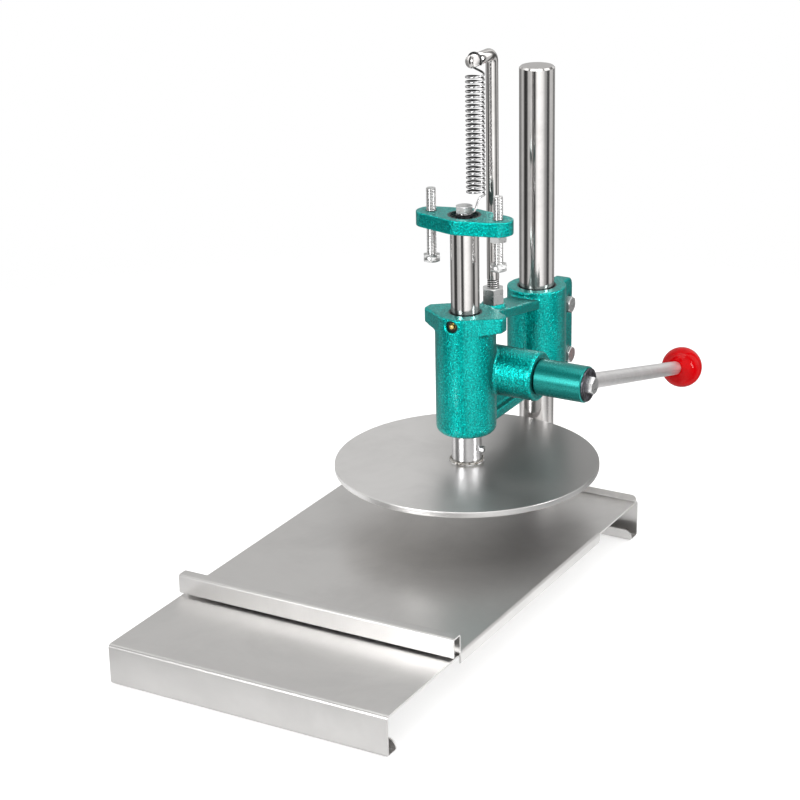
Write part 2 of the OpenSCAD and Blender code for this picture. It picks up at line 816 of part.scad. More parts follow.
module spring_post() {
    low = bar_top_at(post_offset) + post_boss_rise - post_hole_len;
    bend_z = post_arm_z - post_bend_r;
    color([0.83, 0.83, 0.84]) translate([0, post_offset, 0]) {
        translate([0, 0, low]) cylinder(d = post_d, h = bend_z - low);
        translate([0, -post_bend_r, bend_z]) rotate([90, 0, 90]) rotate_extrude(angle = 90)
            translate([post_bend_r, 0]) circle(d = post_d);
        translate([0, -post_bend_r, post_arm_z]) rotate([90, 0, 0])
            cylinder(d = post_d, h = post_arm - post_bend_r);
    }
}

module post_nuts() {
    first_h = post_d * nut_h_share;
    color("gainsboro") translate([0, post_offset, bar_top_at(post_offset) + post_boss_rise]) {
        nut(post_d, first_h);
        translate([0, 0, first_h]) nut(post_d, post_d * thin_nut_h_share);
    }
}

// Return spring

function unit(v) = v / norm(v);

// Points of a curve that leaves a along u and reaches b along v, without its two ends
function bridge(a, u, b, v) =
    let (h = hook_handle_share * norm(b - a), p = a + h * unit(u), q = b - h * unit(v))
    [for (i = [1 : join_steps - 1]) let (t = i / join_steps, s = 1 - t)
        s * s * s * a + 3 * s * s * t * p + 3 * s * t * t * q + t * t * t * b];

function coil_point(i) = let (a = coil_start_angle + 360 * i / coil_steps)
    [coil_r * cos(a), spring_offset + coil_r * sin(a), coil_low + coil_pitch * i / coil_steps];

// The low hook's ring lies flat round the yoke bolt, the high hook's stands round the post's arm
low_hook = [for (i = [0 : low_hook_steps]) let (a = low_hook_turn * (i / low_hook_steps - 1))
    [low_hook_r * cos(a), low_hook_r * sin(a), hook_z]];
low_lead = [low_hook_r, low_hook_r, hook_z];
high_hook = [for (i = [0 : high_hook_steps])
    let (s = i / high_hook_steps, a = high_hook_start - high_hook_turn * s)
    [high_hook_r * cos(a), spring_offset + wire_d / 2 - wire_d * s, post_arm_z + high_hook_r * sin(a)]];
coil = [for (i = [0 : spring_eighths]) coil_point(i)];
coil_end = coil[spring_eighths];
coil_way = coil_end - coil[spring_eighths - 1];
wire = concat(low_hook, [low_lead],
              bridge(low_lead, low_lead - low_hook[low_hook_steps], coil[0], coil[1] - coil[0]), coil,
              bridge(coil_end, coil_way, high_hook[0], high_hook[1] - high_hook[0]), high_hook);

function wire_way(i) = unit(wire[min(i + 1, len(wire) - 1)] - wire[max(i - 1, 0)]);
function square_to(n, i) = let (t = wire_way(i)) unit(n - (n * t) * t);

// Across the wire at every point, carried along so that the tube doesn't twist
wire_across = [for (i = 0, n = square_to([0, 0, 1], 0); i < len(wire); i = i + 1,
                    n = square_to(n, min(i, len(wire) - 1))) n];

// Least gap between stretches of the wire that are at least half a turn apart
wire_gap = min([for (i = [0 : len(wire) - 1], j = [i + coil_steps / 2 : len(wire) - 1])
    norm(wire[i] - wire[j])]) - wire_d;

module return_spring() {
    n = wire_sides;
    last = len(wire) - 1;
    points = [for (i = [0 : last], k = [0 : n - 1])
        let (a = wire_across[i], b = cross(wire_way(i), a), turn = 360 * k / n)
        wire[i] + wire_d / 2 * (cos(turn) * a + sin(turn) * b)];
    walls = [for (i = [0 : last - 1], k = [0 : n - 1])
        let (a = i * n + k, b = i * n + (k + 1) % n) each [[a, a + n, b], [b, a + n, b + n]]];
    ends = [for (k = [1 : n - 2]) each [[0, k, k + 1], [last * n, last * n + k + 1, last * n + k]]];
    color([0.6, 0.6, 0.61]) polyhedron(points, concat(walls, ends), convexity = 4);
}

// Ram

// A gap between two rack teeth in Y and Z, centred on z = 0
module rack_gap() {
    function half_w(y) = tooth_pitch / 4 + flank_gap + (y - rack_pitch_y) * tan(pressure_angle);
    top = rack_tip_y + over;
    polygon([[rack_root_y, -half_w(rack_root_y)], [top, -half_w(top)], [top, half_w(top)],
             [rack_root_y, half_w(rack_root_y)]]);
}

module ram() {
    hole = yoke_bolt_len - (yoke_bolt_seat - ram_top);
    color([0.84, 0.84, 0.85]) difference() {
        union() {
            translate([0, 0, ram_bottom]) cylinder(d = ram_d, h = ram_len);
            translate([0, 0, ram_bottom - nose_len]) cylinder(d = nose_d, h = nose_len + over);
        }
        translate([-ram_d / 2, rack_tip_y, rack_low]) cube([ram_d, ram_d, rack_high - rack_low]);
        for (i = [0 : rack_gaps - 1]) translate([0, 0, rack_low + (i + 0.5) * tooth_pitch])
            along_x(ram_d) rack_gap();
        translate([0, 0, ram_top - hole - over]) cylinder(d = bolt_d + 2 * fix_gap, h = hole + 2 * over);
    }
}

// Yoke

module yoke_plan() {
    // The straight edges touch the ends' circles and the middle's
    middle_r = yoke_w / 2;
    away = acos((middle_r - yoke_end_r) / stop_x);
    root = middle_r * [cos(away), sin(away)];
    tip = [stop_x, 0] + yoke_end_r * [cos(away), sin(away)];
    circle(middle_r);
    for (s = [-1, 1]) translate([s * stop_x, 0]) circle(yoke_end_r);
    polygon([tip, root, [-root[0], root[1]], [-tip[0], tip[1]],
             [-tip[0], -tip[1]], [-root[0], -root[1]], [root[0], -root[1]], [tip[0], -tip[1]]]);
}

module yoke_plate() {
    color([0.0, 0.60, 0.57]) difference() {
        translate([0, 0, ram_top]) linear_extrude(yoke_t) yoke_plan();
        translate([0, 0, recess_floor]) cylinder(d = recess_d, h = recess_h + over);
        for (x = [-stop_x, 0, stop_x]) translate([x, 0, ram_top - over])
            cylinder(d = bolt_d + 2 * fix_gap, h = yoke_t + 2 * over);
    }
}

module yoke_bolt() {
    color("gainsboro") translate([0, 0, yoke_bolt_seat]) bolt(bolt_d, yoke_bolt_len);
}

module yoke_spacer() {
    top = hook_z - wire_d / 2 - hook_gap / 2;
    color("silver") translate([0, 0, recess_floor]) difference() {
        cylinder(d = spacer_d, h = top - recess_floor);
        translate([0, 0, -over]) cylinder(d = bolt_d + 2 * fix_gap, h = top);
    }
}

module stop_bolts() {
    color("gainsboro") for (x = [-stop_x, stop_x])
        translate([x, 0, stop_head_top]) mirror([0, 0, 1]) bolt(bolt_d, stop_len);
}

module stop_nut() {
    nut_h = bolt_d * nut_h_share;
    color("gainsboro") translate([stop_x, 0, ram_top]) mirror([0, 0, 1]) nut(bolt_d, nut_h);
}

// Disc

// A tube with the weld round its foot that holds it on the disc
module disc_socket() {
    color([0.75, 0.75, 0.76]) difference() {
        union() {
            translate([0, 0, disc_top]) cylinder(d = socket_d, h = socket_h);
            translate([0, 0, disc_top]) cylinder(d1 = socket_d + 2 * weld_w, d2 = socket_d, h = weld_w);
        }
        translate([0, 0, ram_bottom - nose_len - over])
            cylinder(d = nose_d + 2 * fix_gap, h = nose_len + 2 * over);
        translate([0, 0, disc_top + set_screw_h]) rotate([0, 0, set_screw_angle])
            bar_x(set_screw_d + 2 * fix_gap, nose_d / 4, socket_d);
    }
}

module disc_set_screw() {
    color([0.82, 0.82, 0.82]) translate([0, 0, disc_top + set_screw_h])
        rotate([0, 0, set_screw_angle]) difference() {
            bar_x(set_screw_d, nose_d / 2 + fix_gap, socket_d / 2 + set_screw_out);
            translate([socket_d / 2, 0, 0]) rotate([0, 90, 0])
                cylinder(d = set_screw_d * socket_share, h = socket_d, $fn = 6);
        }
}

module press_disc() {
    color([0.72, 0.71, 0.69]) translate([0, 0, disc_bottom]) rotate_extrude() polygon([
        [0, 0], [disc_d / 2 - disc_edge, 0], [disc_d / 2, disc_edge],
        [disc_d / 2, disc_t - disc_edge], [disc_d / 2 - disc_edge, disc_t], [0, disc_t]]);
}

// Pinion, hub and lever

function involute(angle) = tan(angle) * 180 / PI - angle;

// Half of a pinion tooth's angle at radius r
function half_tooth(r) =
    let (base_r = pinion_pitch_r * cos(pressure_angle), at = acos(base_r / max(r, base_r)))
    90 / pinion_teeth + involute(pressure_angle) - involute(at) - flank_gap / pinion_pitch_r * 180 / PI;

module pinion_plan() {
    radii = [for (i = [0 : flank_steps]) pinion_root_r + (pinion_tip_r - pinion_root_r) * i / flank_steps];
    turn = 360 / pinion_teeth;
    polygon([for (k = [0 : pinion_teeth - 1]) each concat(
        [for (r = radii) r * [cos(180 + k * turn - half_tooth(r)), sin(180 + k * turn - half_tooth(r))]],
        [for (i = [flank_steps : -1 : 0]) let (r = radii[i])
            r * [cos(180 + k * turn + half_tooth(r)), sin(180 + k * turn + half_tooth(r))]])]);
}

// The lever's own frame: it leaves the pinion's axis along +Y
module on_lever() {
    translate([lever_x, pinion_offset, shaft_z]) rotate([-lever_drop_angle, 0, 0]) children();
}

module lever_thread(gap) {
    root = hub_bore_d / 2 - lever_bite;
    on_lever() translate([0, root - gap, 0]) rotate([-90, 0, 0])
        cylinder(d = lever_thread_d + 2 * gap, h = hub_d / 2 - root + gap + over);
}

module pinion_shaft() {
    groove_w = keeper_tip_d + 2 * air_gap;
    color([0.55, 0.56, 0.57]) difference() {
        translate([0, pinion_offset, shaft_z]) {
            along_x(pinion_w) pinion_plan();
            difference() {
                bar_x(2 * journal_r, pinion_w / 2, shaft_right);
                difference() {
                    bar_x(2 * (journal_r + over), keeper_x - groove_w / 2, keeper_x + groove_w / 2);
                    bar_x(2 * (journal_r - keeper_groove), keeper_x - groove_w, keeper_x + groove_w);
                }
            }
            bar_x(left_journal_d, -pinion_w / 2 - left_journal_len, -pinion_w / 2);
            bar_x(hub_bore_d, shaft_right - over, shaft_end);
        }
        translate([0, pinion_offset, shaft_z])
            bar_x(bolt_d + 2 * fix_gap, shaft_end - hub_bolt_len, shaft_end + over);
        lever_thread(fix_gap);
    }
}

module lever_hub() {
    color([0.0, 0.55, 0.52]) difference() {
        translate([hub_left, pinion_offset, shaft_z]) rotate([0, 90, 0]) rotate_extrude() polygon([
            [hub_bore_d / 2 + run_gap, 0], [hub_d / 2 - hub_chamfer, 0], [hub_d / 2, hub_chamfer],
            [hub_d / 2, hub_len - hub_chamfer], [hub_d / 2 - hub_chamfer, hub_len],
            [hub_bore_d / 2 + run_gap, hub_len]]);
        lever_thread(fix_gap);
    }
}

module hub_washer() {
    color("silver") translate([0, pinion_offset, shaft_z]) difference() {
        bar_x(hub_washer_d, hub_right, hub_right + hub_washer_t);
        bar_x(bolt_d + 2 * fix_gap, hub_right - over, hub_right + hub_washer_t + over);
    }
}

module hub_end_bolt() {
    color("gainsboro") translate([hub_right + hub_washer_t, pinion_offset, shaft_z])
        rotate([0, 90, 0]) bolt(bolt_d, hub_bolt_len);
}

module lever_rod() {
    color([0.80, 0.80, 0.81]) {
        difference() {
            on_lever() rotate([-90, 0, 0]) cylinder(d1 = lever_root_d, d2 = lever_tip_d, h = knob_flat_y);
            translate([0, pinion_offset, shaft_z]) bar_x(hub_d + 2 * fix_gap, hub_left, hub_right + hub_d);
        }
        lever_thread(0);
        on_lever() translate([0, knob_flat_y - over, 0]) rotate([-90, 0, 0])
            cylinder(d = lever_thread_d, h = lever_len - knob_flat_y + over);
    }
}

module ball_knob() {
    color([0.85, 0.04, 0.06]) on_lever() difference() {
        translate([0, lever_len, 0]) sphere(d = knob_d);
        translate([-knob_d, knob_flat_y - knob_d, -knob_d]) cube([2 * knob_d, knob_d, 2 * knob_d]);
        translate([0, knob_flat_y - over, 0]) rotate([-90, 0, 0])
            cylinder(d = lever_thread_d + 2 * fix_gap, h = lever_len - knob_flat_y + 2 * over);
    }
}

echo(least_gap_in_spring = wire_gap);

base_sheet();
base_rail();
base_screws();
base_screw_nuts();
column();
column_foot();
foot_bolts();
foot_nuts();
column_nut();
tray();
press_head();
clamp_bolts();
clamp_nuts();
oiler();
keeper_screw();
spring_post();
post_nuts();
return_spring();
ram();
yoke_plate();
yoke_bolt();
yoke_spacer();
stop_bolts();
stop_nut();
disc_socket();
disc_set_screw();
press_disc();
pinion_shaft();
lever_hub();
hub_washer();
hub_end_bolt();
lever_rod();
ball_knob();
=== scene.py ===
# %% [markdown]
# # A hand press for pizza dough, dressed for the camera
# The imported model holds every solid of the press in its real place, in metres, with +Z up.
# This script keeps that frame and gives each piece the finish that a camera would see.
# Where the real piece is softer than a plain solid, such as a casting with rounded edges,
# a merged copy of the solid is worked over and stands in for it.

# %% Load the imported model
import math
from collections import namedtuple
import bmesh
import bpy
from mathutils import Matrix, Vector


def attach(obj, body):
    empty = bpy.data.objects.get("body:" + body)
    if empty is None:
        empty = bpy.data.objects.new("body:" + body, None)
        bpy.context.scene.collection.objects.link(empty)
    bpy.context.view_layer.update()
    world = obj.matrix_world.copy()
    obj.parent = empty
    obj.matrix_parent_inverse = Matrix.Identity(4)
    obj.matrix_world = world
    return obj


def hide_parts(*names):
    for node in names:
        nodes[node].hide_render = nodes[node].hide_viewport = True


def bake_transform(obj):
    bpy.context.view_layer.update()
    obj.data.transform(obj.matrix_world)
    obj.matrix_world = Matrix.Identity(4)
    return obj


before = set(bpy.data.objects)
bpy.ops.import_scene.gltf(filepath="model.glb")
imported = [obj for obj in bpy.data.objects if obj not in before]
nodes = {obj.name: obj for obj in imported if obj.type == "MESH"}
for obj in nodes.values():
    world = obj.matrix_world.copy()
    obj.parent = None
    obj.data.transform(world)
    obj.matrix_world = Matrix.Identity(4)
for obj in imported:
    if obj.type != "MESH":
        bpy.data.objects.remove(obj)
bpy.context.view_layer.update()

MM = 0.001
scene = bpy.context.scene

# %% [markdown]
# ## Places that are read off the model
# Bores, threads and the painted shade round the bores have to sit on the press's own bars and bolts. Their
# places could be typed in again, but then they would go wrong with the first change of the model, so they
# are measured on it. A bar's axis is the middle of its reach. Two nodes need a part of their points only:
# the bolts, which come as a pair, and the post, which is bent over at its top.

# %% Measure the bars and bolts
Corner = namedtuple("Corner", "x y z")


def reach(node, keep=lambda point: True):
    """The lowest and the highest corner, in millimetres, of the points of a node that are kept."""
    points = [point.co / MM for point in nodes[node].data.vertices]
    points = [point for point in points if keep(point)]
    return [Corner(*(round(end(values), 3) for values in zip(*points))) for end in (min, max)]


def middle(node, keep=lambda point: True):
    """The middle of the same points."""
    return Corner(*(round((low + high) / 2, 3) for low, high in zip(*reach(node, keep))))


POST_BEND = 230
RAM_RADIUS = reach("ram")[1].x
COLUMN_RADIUS = reach("column")[1].x
COLUMN_Y = middle("column").y
BOLT_X = middle("stop_bolts", lambda point: point.x > 0).x
POST_RADIUS = reach("spring_post")[1].x
POST_Y = middle("spring_post", lambda point: point.z < POST_BEND).y
OILER_BALL = middle("oiler")
DISC_TOP = reach("press_disc")[1].z
print("ram's radius", RAM_RADIUS, "column's radius", COLUMN_RADIUS, "at y", COLUMN_Y)
print("stop bolts at x", BOLT_X, "post's radius", POST_RADIUS, "at y", POST_Y)
print("oiler's ball at", tuple(OILER_BALL), "disc's top at z", DISC_TOP)

# %% [markdown]
# ## The camera
# The base's straight edges, the tray's and the round edge of the disc fix where the camera
# stood. An aim at a point would be shorter to write, but it can't lean, and this camera leans
# by a degree. So its direction is kept as three angles that can be read and changed. A camera
# looks along its own -Z, so the matrix is built from its right, its up and its back.

# %% Place the camera
YAW, PITCH, ROLL = (math.radians(angle) for angle in (30.077, -20.812, -1.208))
LENS, SENSOR = 101.72, 36
STAND = (0.824838, -1.532973, 0.793584)

forward = Vector((-math.sin(YAW) * math.cos(PITCH), math.cos(YAW) * math.cos(PITCH), math.sin(PITCH)))
level = Vector((math.cos(YAW), math.sin(YAW), 0))
rise = level.cross(forward)
right = math.cos(ROLL) * level + math.sin(ROLL) * rise
up = math.cos(ROLL) * rise - math.sin(ROLL) * level

camera_data = bpy.data.cameras.new("studio_camera")
camera_data.sensor_width = SENSOR
camera_data.lens = LENS
camera = bpy.data.objects.new("studio_camera", camera_data)
camera.matrix_world = (Matrix.Translation(STAND)
                       @ Matrix((right, up, -forward)).transposed().to_4x4())
scene.collection.objects.link(camera)
scene.camera = camera
scene.view_settings.view_transform = "Standard"
print("camera stands", round(Vector(STAND).length, 2), "m from the press")

# %% [markdown]
# ## Small helpers for shader nodes
# Every surface here is a tree of shader nodes, and no image is loaded. Written out in full, a
# node takes three or four lines: make it, set it, fill its inputs, link it. These helpers say
# the same in one line each. An input that is given another node's socket is linked, and one
# that is given a value is set.

# %% Add a node and join its inputs
def fill_inputs(tree, node, inputs):
    for key, value in inputs.items():
        if isinstance(value, bpy.types.NodeSocket):
            tree.links.new(value, node.inputs[key])
        else:
            node.inputs[key].default_value = value


def add_node(tree, kind, inputs=None, **settings):
    node = tree.nodes.new(kind)
    for name, value in settings.items():
        setattr(node, name, value)
    fill_inputs(tree, node, inputs or {})
    return node


# %% Sums, measures and colours
def maths(tree, operation, *values):
    return add_node(tree, "ShaderNodeMath", dict(enumerate(values)), operation=operation).outputs[0]


def times(tree, a, b):
    return maths(tree, "MULTIPLY", a, b)


def vector_maths(tree, operation, *vectors):
    """A vector sum or product, or the one number that a measure of vectors gives."""
    node = add_node(tree, "ShaderNodeVectorMath", dict(enumerate(vectors)), operation=operation)
    measures = ("LENGTH", "DISTANCE", "DOT_PRODUCT")
    return node.outputs["Value" if operation in measures else "Vector"]


def spread(tree, value, low, high, to_low, to_high, smooth=False):
    """Maps value from low..high to to_low..to_high and stops at the ends."""
    return add_node(tree, "ShaderNodeMapRange", {
        "Value": value, "From Min": low, "From Max": high, "To Min": to_low, "To Max": to_high},
        interpolation_type="SMOOTHSTEP" if smooth else "LINEAR").outputs["Result"]


def mix(tree, factor, first, second):
    """The first colour where the factor is 0, the second where it is 1."""
    first, second = (colour if isinstance(colour, bpy.types.NodeSocket) else (*colour, 1)
                     for colour in (first, second))
    return add_node(tree, "ShaderNodeMixRGB", {0: factor, 1: first, 2: second}).outputs[0]


def compass(angle):
    """The level direction at an angle in degrees from +X."""
    return (math.cos(math.radians(angle)), math.sin(math.radians(angle)), 0)


# %% [markdown]
# ## The studio tent
# Polished round bars show their surroundings as upright stripes, so the studio has to have
# something to show. Real panels could stand round the press, but they would get in the way of
# the lamps and of views from behind. So the world itself is the tent: pale, brighter overhead
# and in front, with upright panels painted on it by their compass angle. Rays from the camera
# see plain white instead, because the background is white.

# %% The tent's cloth
world = bpy.data.worlds.new("studio_tent")
world.use_nodes = True
scene.world = world
tent = world.node_tree
tent.nodes.clear()
direction = add_node(tent, "ShaderNodeTexCoord").outputs["Generated"]
height = add_node(tent, "ShaderNodeSeparateXYZ", {0: direction}).outputs["Z"]
flat = vector_maths(tent, "MULTIPLY", direction, (1, 1, 0))
flat = vector_maths(tent, "NORMALIZE", flat)
brightness = spread(tent, height, -0.5, 0.7, 0.60, 0.88)

# Low down, only the side in front of the press is bright, so round pieces get dark flanks
frontal = vector_maths(tent, "DOT_PRODUCT", flat, compass(-80))
flanks = spread(tent, frontal, 0.1, 0.95, 0.52, 1.35, smooth=True)
lowness = spread(tent, height, -0.1, 0.12, 1, 0, smooth=True)
brightness = times(tent, brightness, mix(tent, lowness, (1, 1, 1), flanks))
print("tent nodes:", len(tent.nodes))

# %% The tent's panels
# Each has its compass angle from +X in degrees, its half width, and how dark it is. A panel
# of less than nothing is a bright one.
PANELS = [(-140, 13, 0.93), (-112, 8, 0.3), (-82, 9, 0.93), (-40, 20, -0.55), (14, 9, 0.8),
          (38, 14, -0.9), (66, 8, 0.75), (118, 18, 0.3), (158, 8, 0.4), (-170, 8, -0.7)]
BLURRED_FROM, BLURRED_TO = 1.6, 0.6

for angle, half_width, darkness in PANELS:
    facing = vector_maths(tent, "DOT_PRODUCT", flat, compass(angle))
    outer = math.cos(math.radians(half_width * BLURRED_FROM))
    inner = math.cos(math.radians(half_width * BLURRED_TO))
    shade = spread(tent, facing, outer, inner, 1, 1 - darkness, smooth=True)
    brightness = times(tent, brightness, shade)

tent_light = add_node(tent, "ShaderNodeBackground", {"Color": (1, 0.995, 0.985, 1), "Strength": brightness})
plain_white = add_node(tent, "ShaderNodeBackground", {"Color": (1, 1, 1, 1), "Strength": 1})
seen = add_node(tent, "ShaderNodeLightPath").outputs["Is Camera Ray"]
mixed = add_node(tent, "ShaderNodeMixShader", {0: seen, 1: tent_light.outputs[0],
                                               2: plain_white.outputs[0]})
add_node(tent, "ShaderNodeOutputWorld", {"Surface": mixed.outputs[0]})
print("panels:", len(PANELS))

# %% [markdown]
# ## Lamps
# Three soft boxes light the press: a large one at the front left, a smaller one at the right,
# and one overhead. Point lamps or a sun would be simpler, but they leave hard specks on paint
# and hard edges in the shadow. A big lamp that is close gives broad highlights, as in a
# product studio. The lamp at the right is narrow, so that the lever keeps one clean stripe.

# %% Soft boxes
def soft_box(name, place, aim, size, watts):
    lamp = bpy.data.lights.new(name, "AREA")
    lamp.shape = "RECTANGLE"
    lamp.size, lamp.size_y = size
    lamp.energy = watts
    box = bpy.data.objects.new(name, lamp)
    turn = (Vector(aim) - Vector(place)).to_track_quat("-Z", "Y")
    box.matrix_world = Matrix.Translation(place) @ turn.to_matrix().to_4x4()
    scene.collection.objects.link(box)
    print(name, watts, "W")


soft_box("front_left_box", (-0.42, -1.95, 0.75), (0, 0, 0.15), (0.6, 1.1), 19)
soft_box("right_box", (1.95, 0.2, 0.75), (0, 0, 0.15), (0.3, 1.1), 15)
soft_box("top_box", (0, 0.1, 1.9), (0, 0, 0), (1.2, 1.2), 9)

# %% [markdown]
# ## The floor
# The floor is a pale sheet of paper that fades out beyond the press, where the camera sees the
# white world behind it. More light would make it white too, but it would also burn out the
# steel. So the paper has a faint glow of its own, for camera and mirror rays alone, that lifts
# it to white and leaves the shadow on it. In mirror rays it fades sooner, so that the polished
# bars, which look down onto it, still find the dark panels.

# %% A sheet under the press
FLOOR_SIZE, FLOOR_DROP = 1.6, 0.4 * MM

floor_mesh = bmesh.new()
bmesh.ops.create_grid(floor_mesh, x_segments=1, y_segments=1, size=FLOOR_SIZE)
bmesh.ops.translate(floor_mesh, verts=floor_mesh.verts, vec=(0, -0.1, -FLOOR_DROP))
floor = bpy.data.objects.new("floor", bpy.data.meshes.new("floor"))
floor_mesh.to_mesh(floor.data)
floor_mesh.free()
scene.collection.objects.link(floor)

# %% The paper's material
floor_paper = bpy.data.materials.new("floor_paper")
floor_paper.use_nodes = True
sheet = floor_paper.node_tree
sheet.nodes.clear()
spot = add_node(sheet, "ShaderNodeTexCoord").outputs["Object"]
away = vector_maths(sheet, "LENGTH", vector_maths(sheet, "ADD", spot, (0, 0.1, 0)))
rays = add_node(sheet, "ShaderNodeLightPath").outputs
fade = spread(sheet, maths(sheet, "MULTIPLY_ADD", rays["Is Glossy Ray"], 0.45, away),
              0.52, 0.95, 0, 1, smooth=True)
fibres = add_node(sheet, "ShaderNodeTexNoise", {"Vector": spot, "Scale": 280.0, "Detail": 2.0})
paper = mix(sheet, fibres.outputs["Fac"], (0.80, 0.80, 0.80), (0.84, 0.84, 0.84))
glow = maths(sheet, "MAXIMUM", rays["Is Camera Ray"], rays["Is Glossy Ray"])
matt = add_node(sheet, "ShaderNodeBsdfDiffuse", {"Color": paper})
lift = add_node(sheet, "ShaderNodeEmission", {"Color": (1, 1, 1, 1), "Strength": times(sheet, glow, 0.42)})
lit = add_node(sheet, "ShaderNodeAddShader", {0: matt.outputs[0], 1: lift.outputs[0]})
clear = add_node(sheet, "ShaderNodeBsdfTransparent")
faded = add_node(sheet, "ShaderNodeMixShader", {0: fade, 1: lit.outputs[0], 2: clear.outputs[0]})
add_node(sheet, "ShaderNodeOutputMaterial", {"Surface": faded.outputs[0]})
floor.data.materials.append(floor_paper)
print("floor:", 2 * FLOOR_SIZE, "m square")

# %% [markdown]
# ## Shared surface effects
# Some effects come back on many finishes: grinding lines, handling marks, hammered paint, and painted shade
# round a bore and in a thread's grooves. Each could be copied into every material, but then a change would
# have to be made many times. So each is a node group that is built once and placed in a material with its
# own values. A group puts out masks and heights only, and the material decides what they do.

# %% Start a node group and place it
def start_group(name, inputs, outputs):
    group = bpy.data.node_groups.new(name, "ShaderNodeTree")
    for label, default in inputs.items():
        kind = "NodeSocketVector" if isinstance(default, tuple) else "NodeSocketFloat"
        group.interface.new_socket(label, in_out="INPUT", socket_type=kind).default_value = default
    for label in outputs:
        group.interface.new_socket(label, in_out="OUTPUT", socket_type="NodeSocketFloat")
    print("effect:", name, "gives", ", ".join(outputs))
    return group, group.nodes.new("NodeGroupInput").outputs, group.nodes.new("NodeGroupOutput").inputs


def use_group(tree, group, **inputs):
    """Places a group in a tree. Its inputs are named with _ for each space."""
    values = {key.replace("_", " "): value for key, value in inputs.items()}
    return add_node(tree, "ShaderNodeGroup", values, node_tree=group).outputs


def on_piece(tree):
    """Where on the piece a point is, in metres: the pattern stays on it when the piece moves."""
    return add_node(tree, "ShaderNodeTexCoord").outputs["Object"]


# %% [markdown]
# ### Grinding lines
# Sheet and bars are ground on a belt or turned in a lathe, which leaves fine lines one way. An
# anisotropic shader would stretch the highlight but show no line. Here the coordinates are
# squeezed along one direction before a noise reads them, so its grains become lines. The three
# numbers say how many lines a metre has along X, Y and Z.

# %% Grinding lines
grind, given, result = start_group("grinding_lines", {"Lines per metre": (60.0, 2500.0, 2500.0)}, ["Lines"])
stretched = vector_maths(grind, "MULTIPLY", on_piece(grind), given["Lines per metre"])
fine = add_node(grind, "ShaderNodeTexNoise", {"Vector": stretched, "Scale": 1.0, "Detail": 4.0,
                                              "Roughness": 0.6})
grind.links.new(fine.outputs["Fac"], result["Lines"])

# %% [markdown]
# ### Handling marks
# Hands, flour and cloths leave clouds on metal and paint that are seen only where light
# glances off. They could be painted by hand, but a soft noise with some distortion is random
# enough. Size sets how many clouds a metre has.

# %% Handling marks
handling, given, result = start_group("handling_marks", {"Size": 30.0}, ["Clouds"])
clouds = add_node(handling, "ShaderNodeTexNoise", {
    "Vector": on_piece(handling), "Scale": given["Size"], "Detail": 5.0, "Roughness": 0.62,
    "Distortion": 0.4})
handling.links.new(spread(handling, clouds.outputs["Fac"], 0.35, 0.7, 0, 1, smooth=True), result["Clouds"])

# %% [markdown]
# ### Hammer finish
# Hammer paint draws together into small dimples while it dries, and its metal flakes gather
# between them. Real dimples would take millions of faces. A smooth cell pattern, bent a little
# so that no cell is regular, gives their height for a bump, and a noise gives the flakes.

# %% Hammer finish
hammer, given, result = start_group("hammer_finish", {"Dimples per metre": 520.0}, ["Height", "Flakes"])
BEND = 1.6 * MM
place = on_piece(hammer)
bend = add_node(hammer, "ShaderNodeTexNoise", {"Vector": place, "Scale": 300.0, "Detail": 2.0})
shift = vector_maths(hammer, "MULTIPLY", bend.outputs["Color"], (BEND, BEND, BEND))
dimples = add_node(hammer, "ShaderNodeTexVoronoi", {
    "Vector": vector_maths(hammer, "ADD", place, shift), "Scale": given["Dimples per metre"],
    "Smoothness": 0.8}, feature="SMOOTH_F1")
grit = add_node(hammer, "ShaderNodeTexNoise", {"Vector": place, "Scale": 700.0, "Detail": 3.0,
                                               "Roughness": 0.6})
rough_height = maths(hammer, "ADD", dimples.outputs["Distance"], grit.outputs["Fac"])
hammer.links.new(rough_height, result["Height"])
flakes = add_node(hammer, "ShaderNodeTexNoise", {"Vector": place, "Scale": 800.0, "Detail": 3.0,
                                                 "Roughness": 0.6})
hammer.links.new(spread(hammer, flakes.outputs["Fac"], 0.38, 0.66, 0, 1), result["Flakes"])

# %% [markdown]
# ### Painted shade round an axis
# A dark ring is painted on the casting round a bore, as shade in the gap round the bar, and a painted shade
# darkens the grooves of a thread. Both follow a bar's axis, so a mask needs only the distance from that
# axis. Painting by hand or a second material on a strip of faces would end in a hard edge. The distance
# gives a soft one. The groove shade takes the size of the coordinates without their sign, so that one group
# serves both of the yoke's bolts, which stand as far left as right.

# %% Painted shade round a bore and in a thread's grooves
def from_axis(tree, place, axis):
    """How far a place is from an upright axis."""
    aside = vector_maths(tree, "SUBTRACT", place, axis)
    return vector_maths(tree, "LENGTH", vector_maths(tree, "MULTIPLY", aside, (1, 1, 0)))


# Painted shade: a dark ring just outside a bore's radius.
painted_bore_shade, given, result = start_group("painted_bore_shade", {"Axis": (0.0, 0.0, 0.0), "Radius": 0.012}, ["Oil"])
off_axis = from_axis(painted_bore_shade, on_piece(painted_bore_shade), given["Axis"])
beyond = maths(painted_bore_shade, "SUBTRACT", off_axis, given["Radius"])
painted_bore_shade.links.new(spread(painted_bore_shade, beyond, 0.8 * MM, 2.2 * MM, 1, 0, smooth=True), result["Oil"])

# Painted shade: darker nearer to a thread's axis than its crests.
painted_groove_shade, given, result = start_group(
    "painted_groove_shade", {"Axis": (0.0, 0.0, 0.0), "Radius": 0.004}, ["Dirt"])
mirrored = vector_maths(painted_groove_shade, "ABSOLUTE", on_piece(painted_groove_shade))
off_axis = from_axis(painted_groove_shade, mirrored, given["Axis"])
beyond = maths(painted_groove_shade, "SUBTRACT", off_axis, given["Radius"])
painted_groove_shade.links.new(spread(painted_groove_shade, beyond, -0.45 * MM, -0.12 * MM, 1, 0), result["Dirt"])
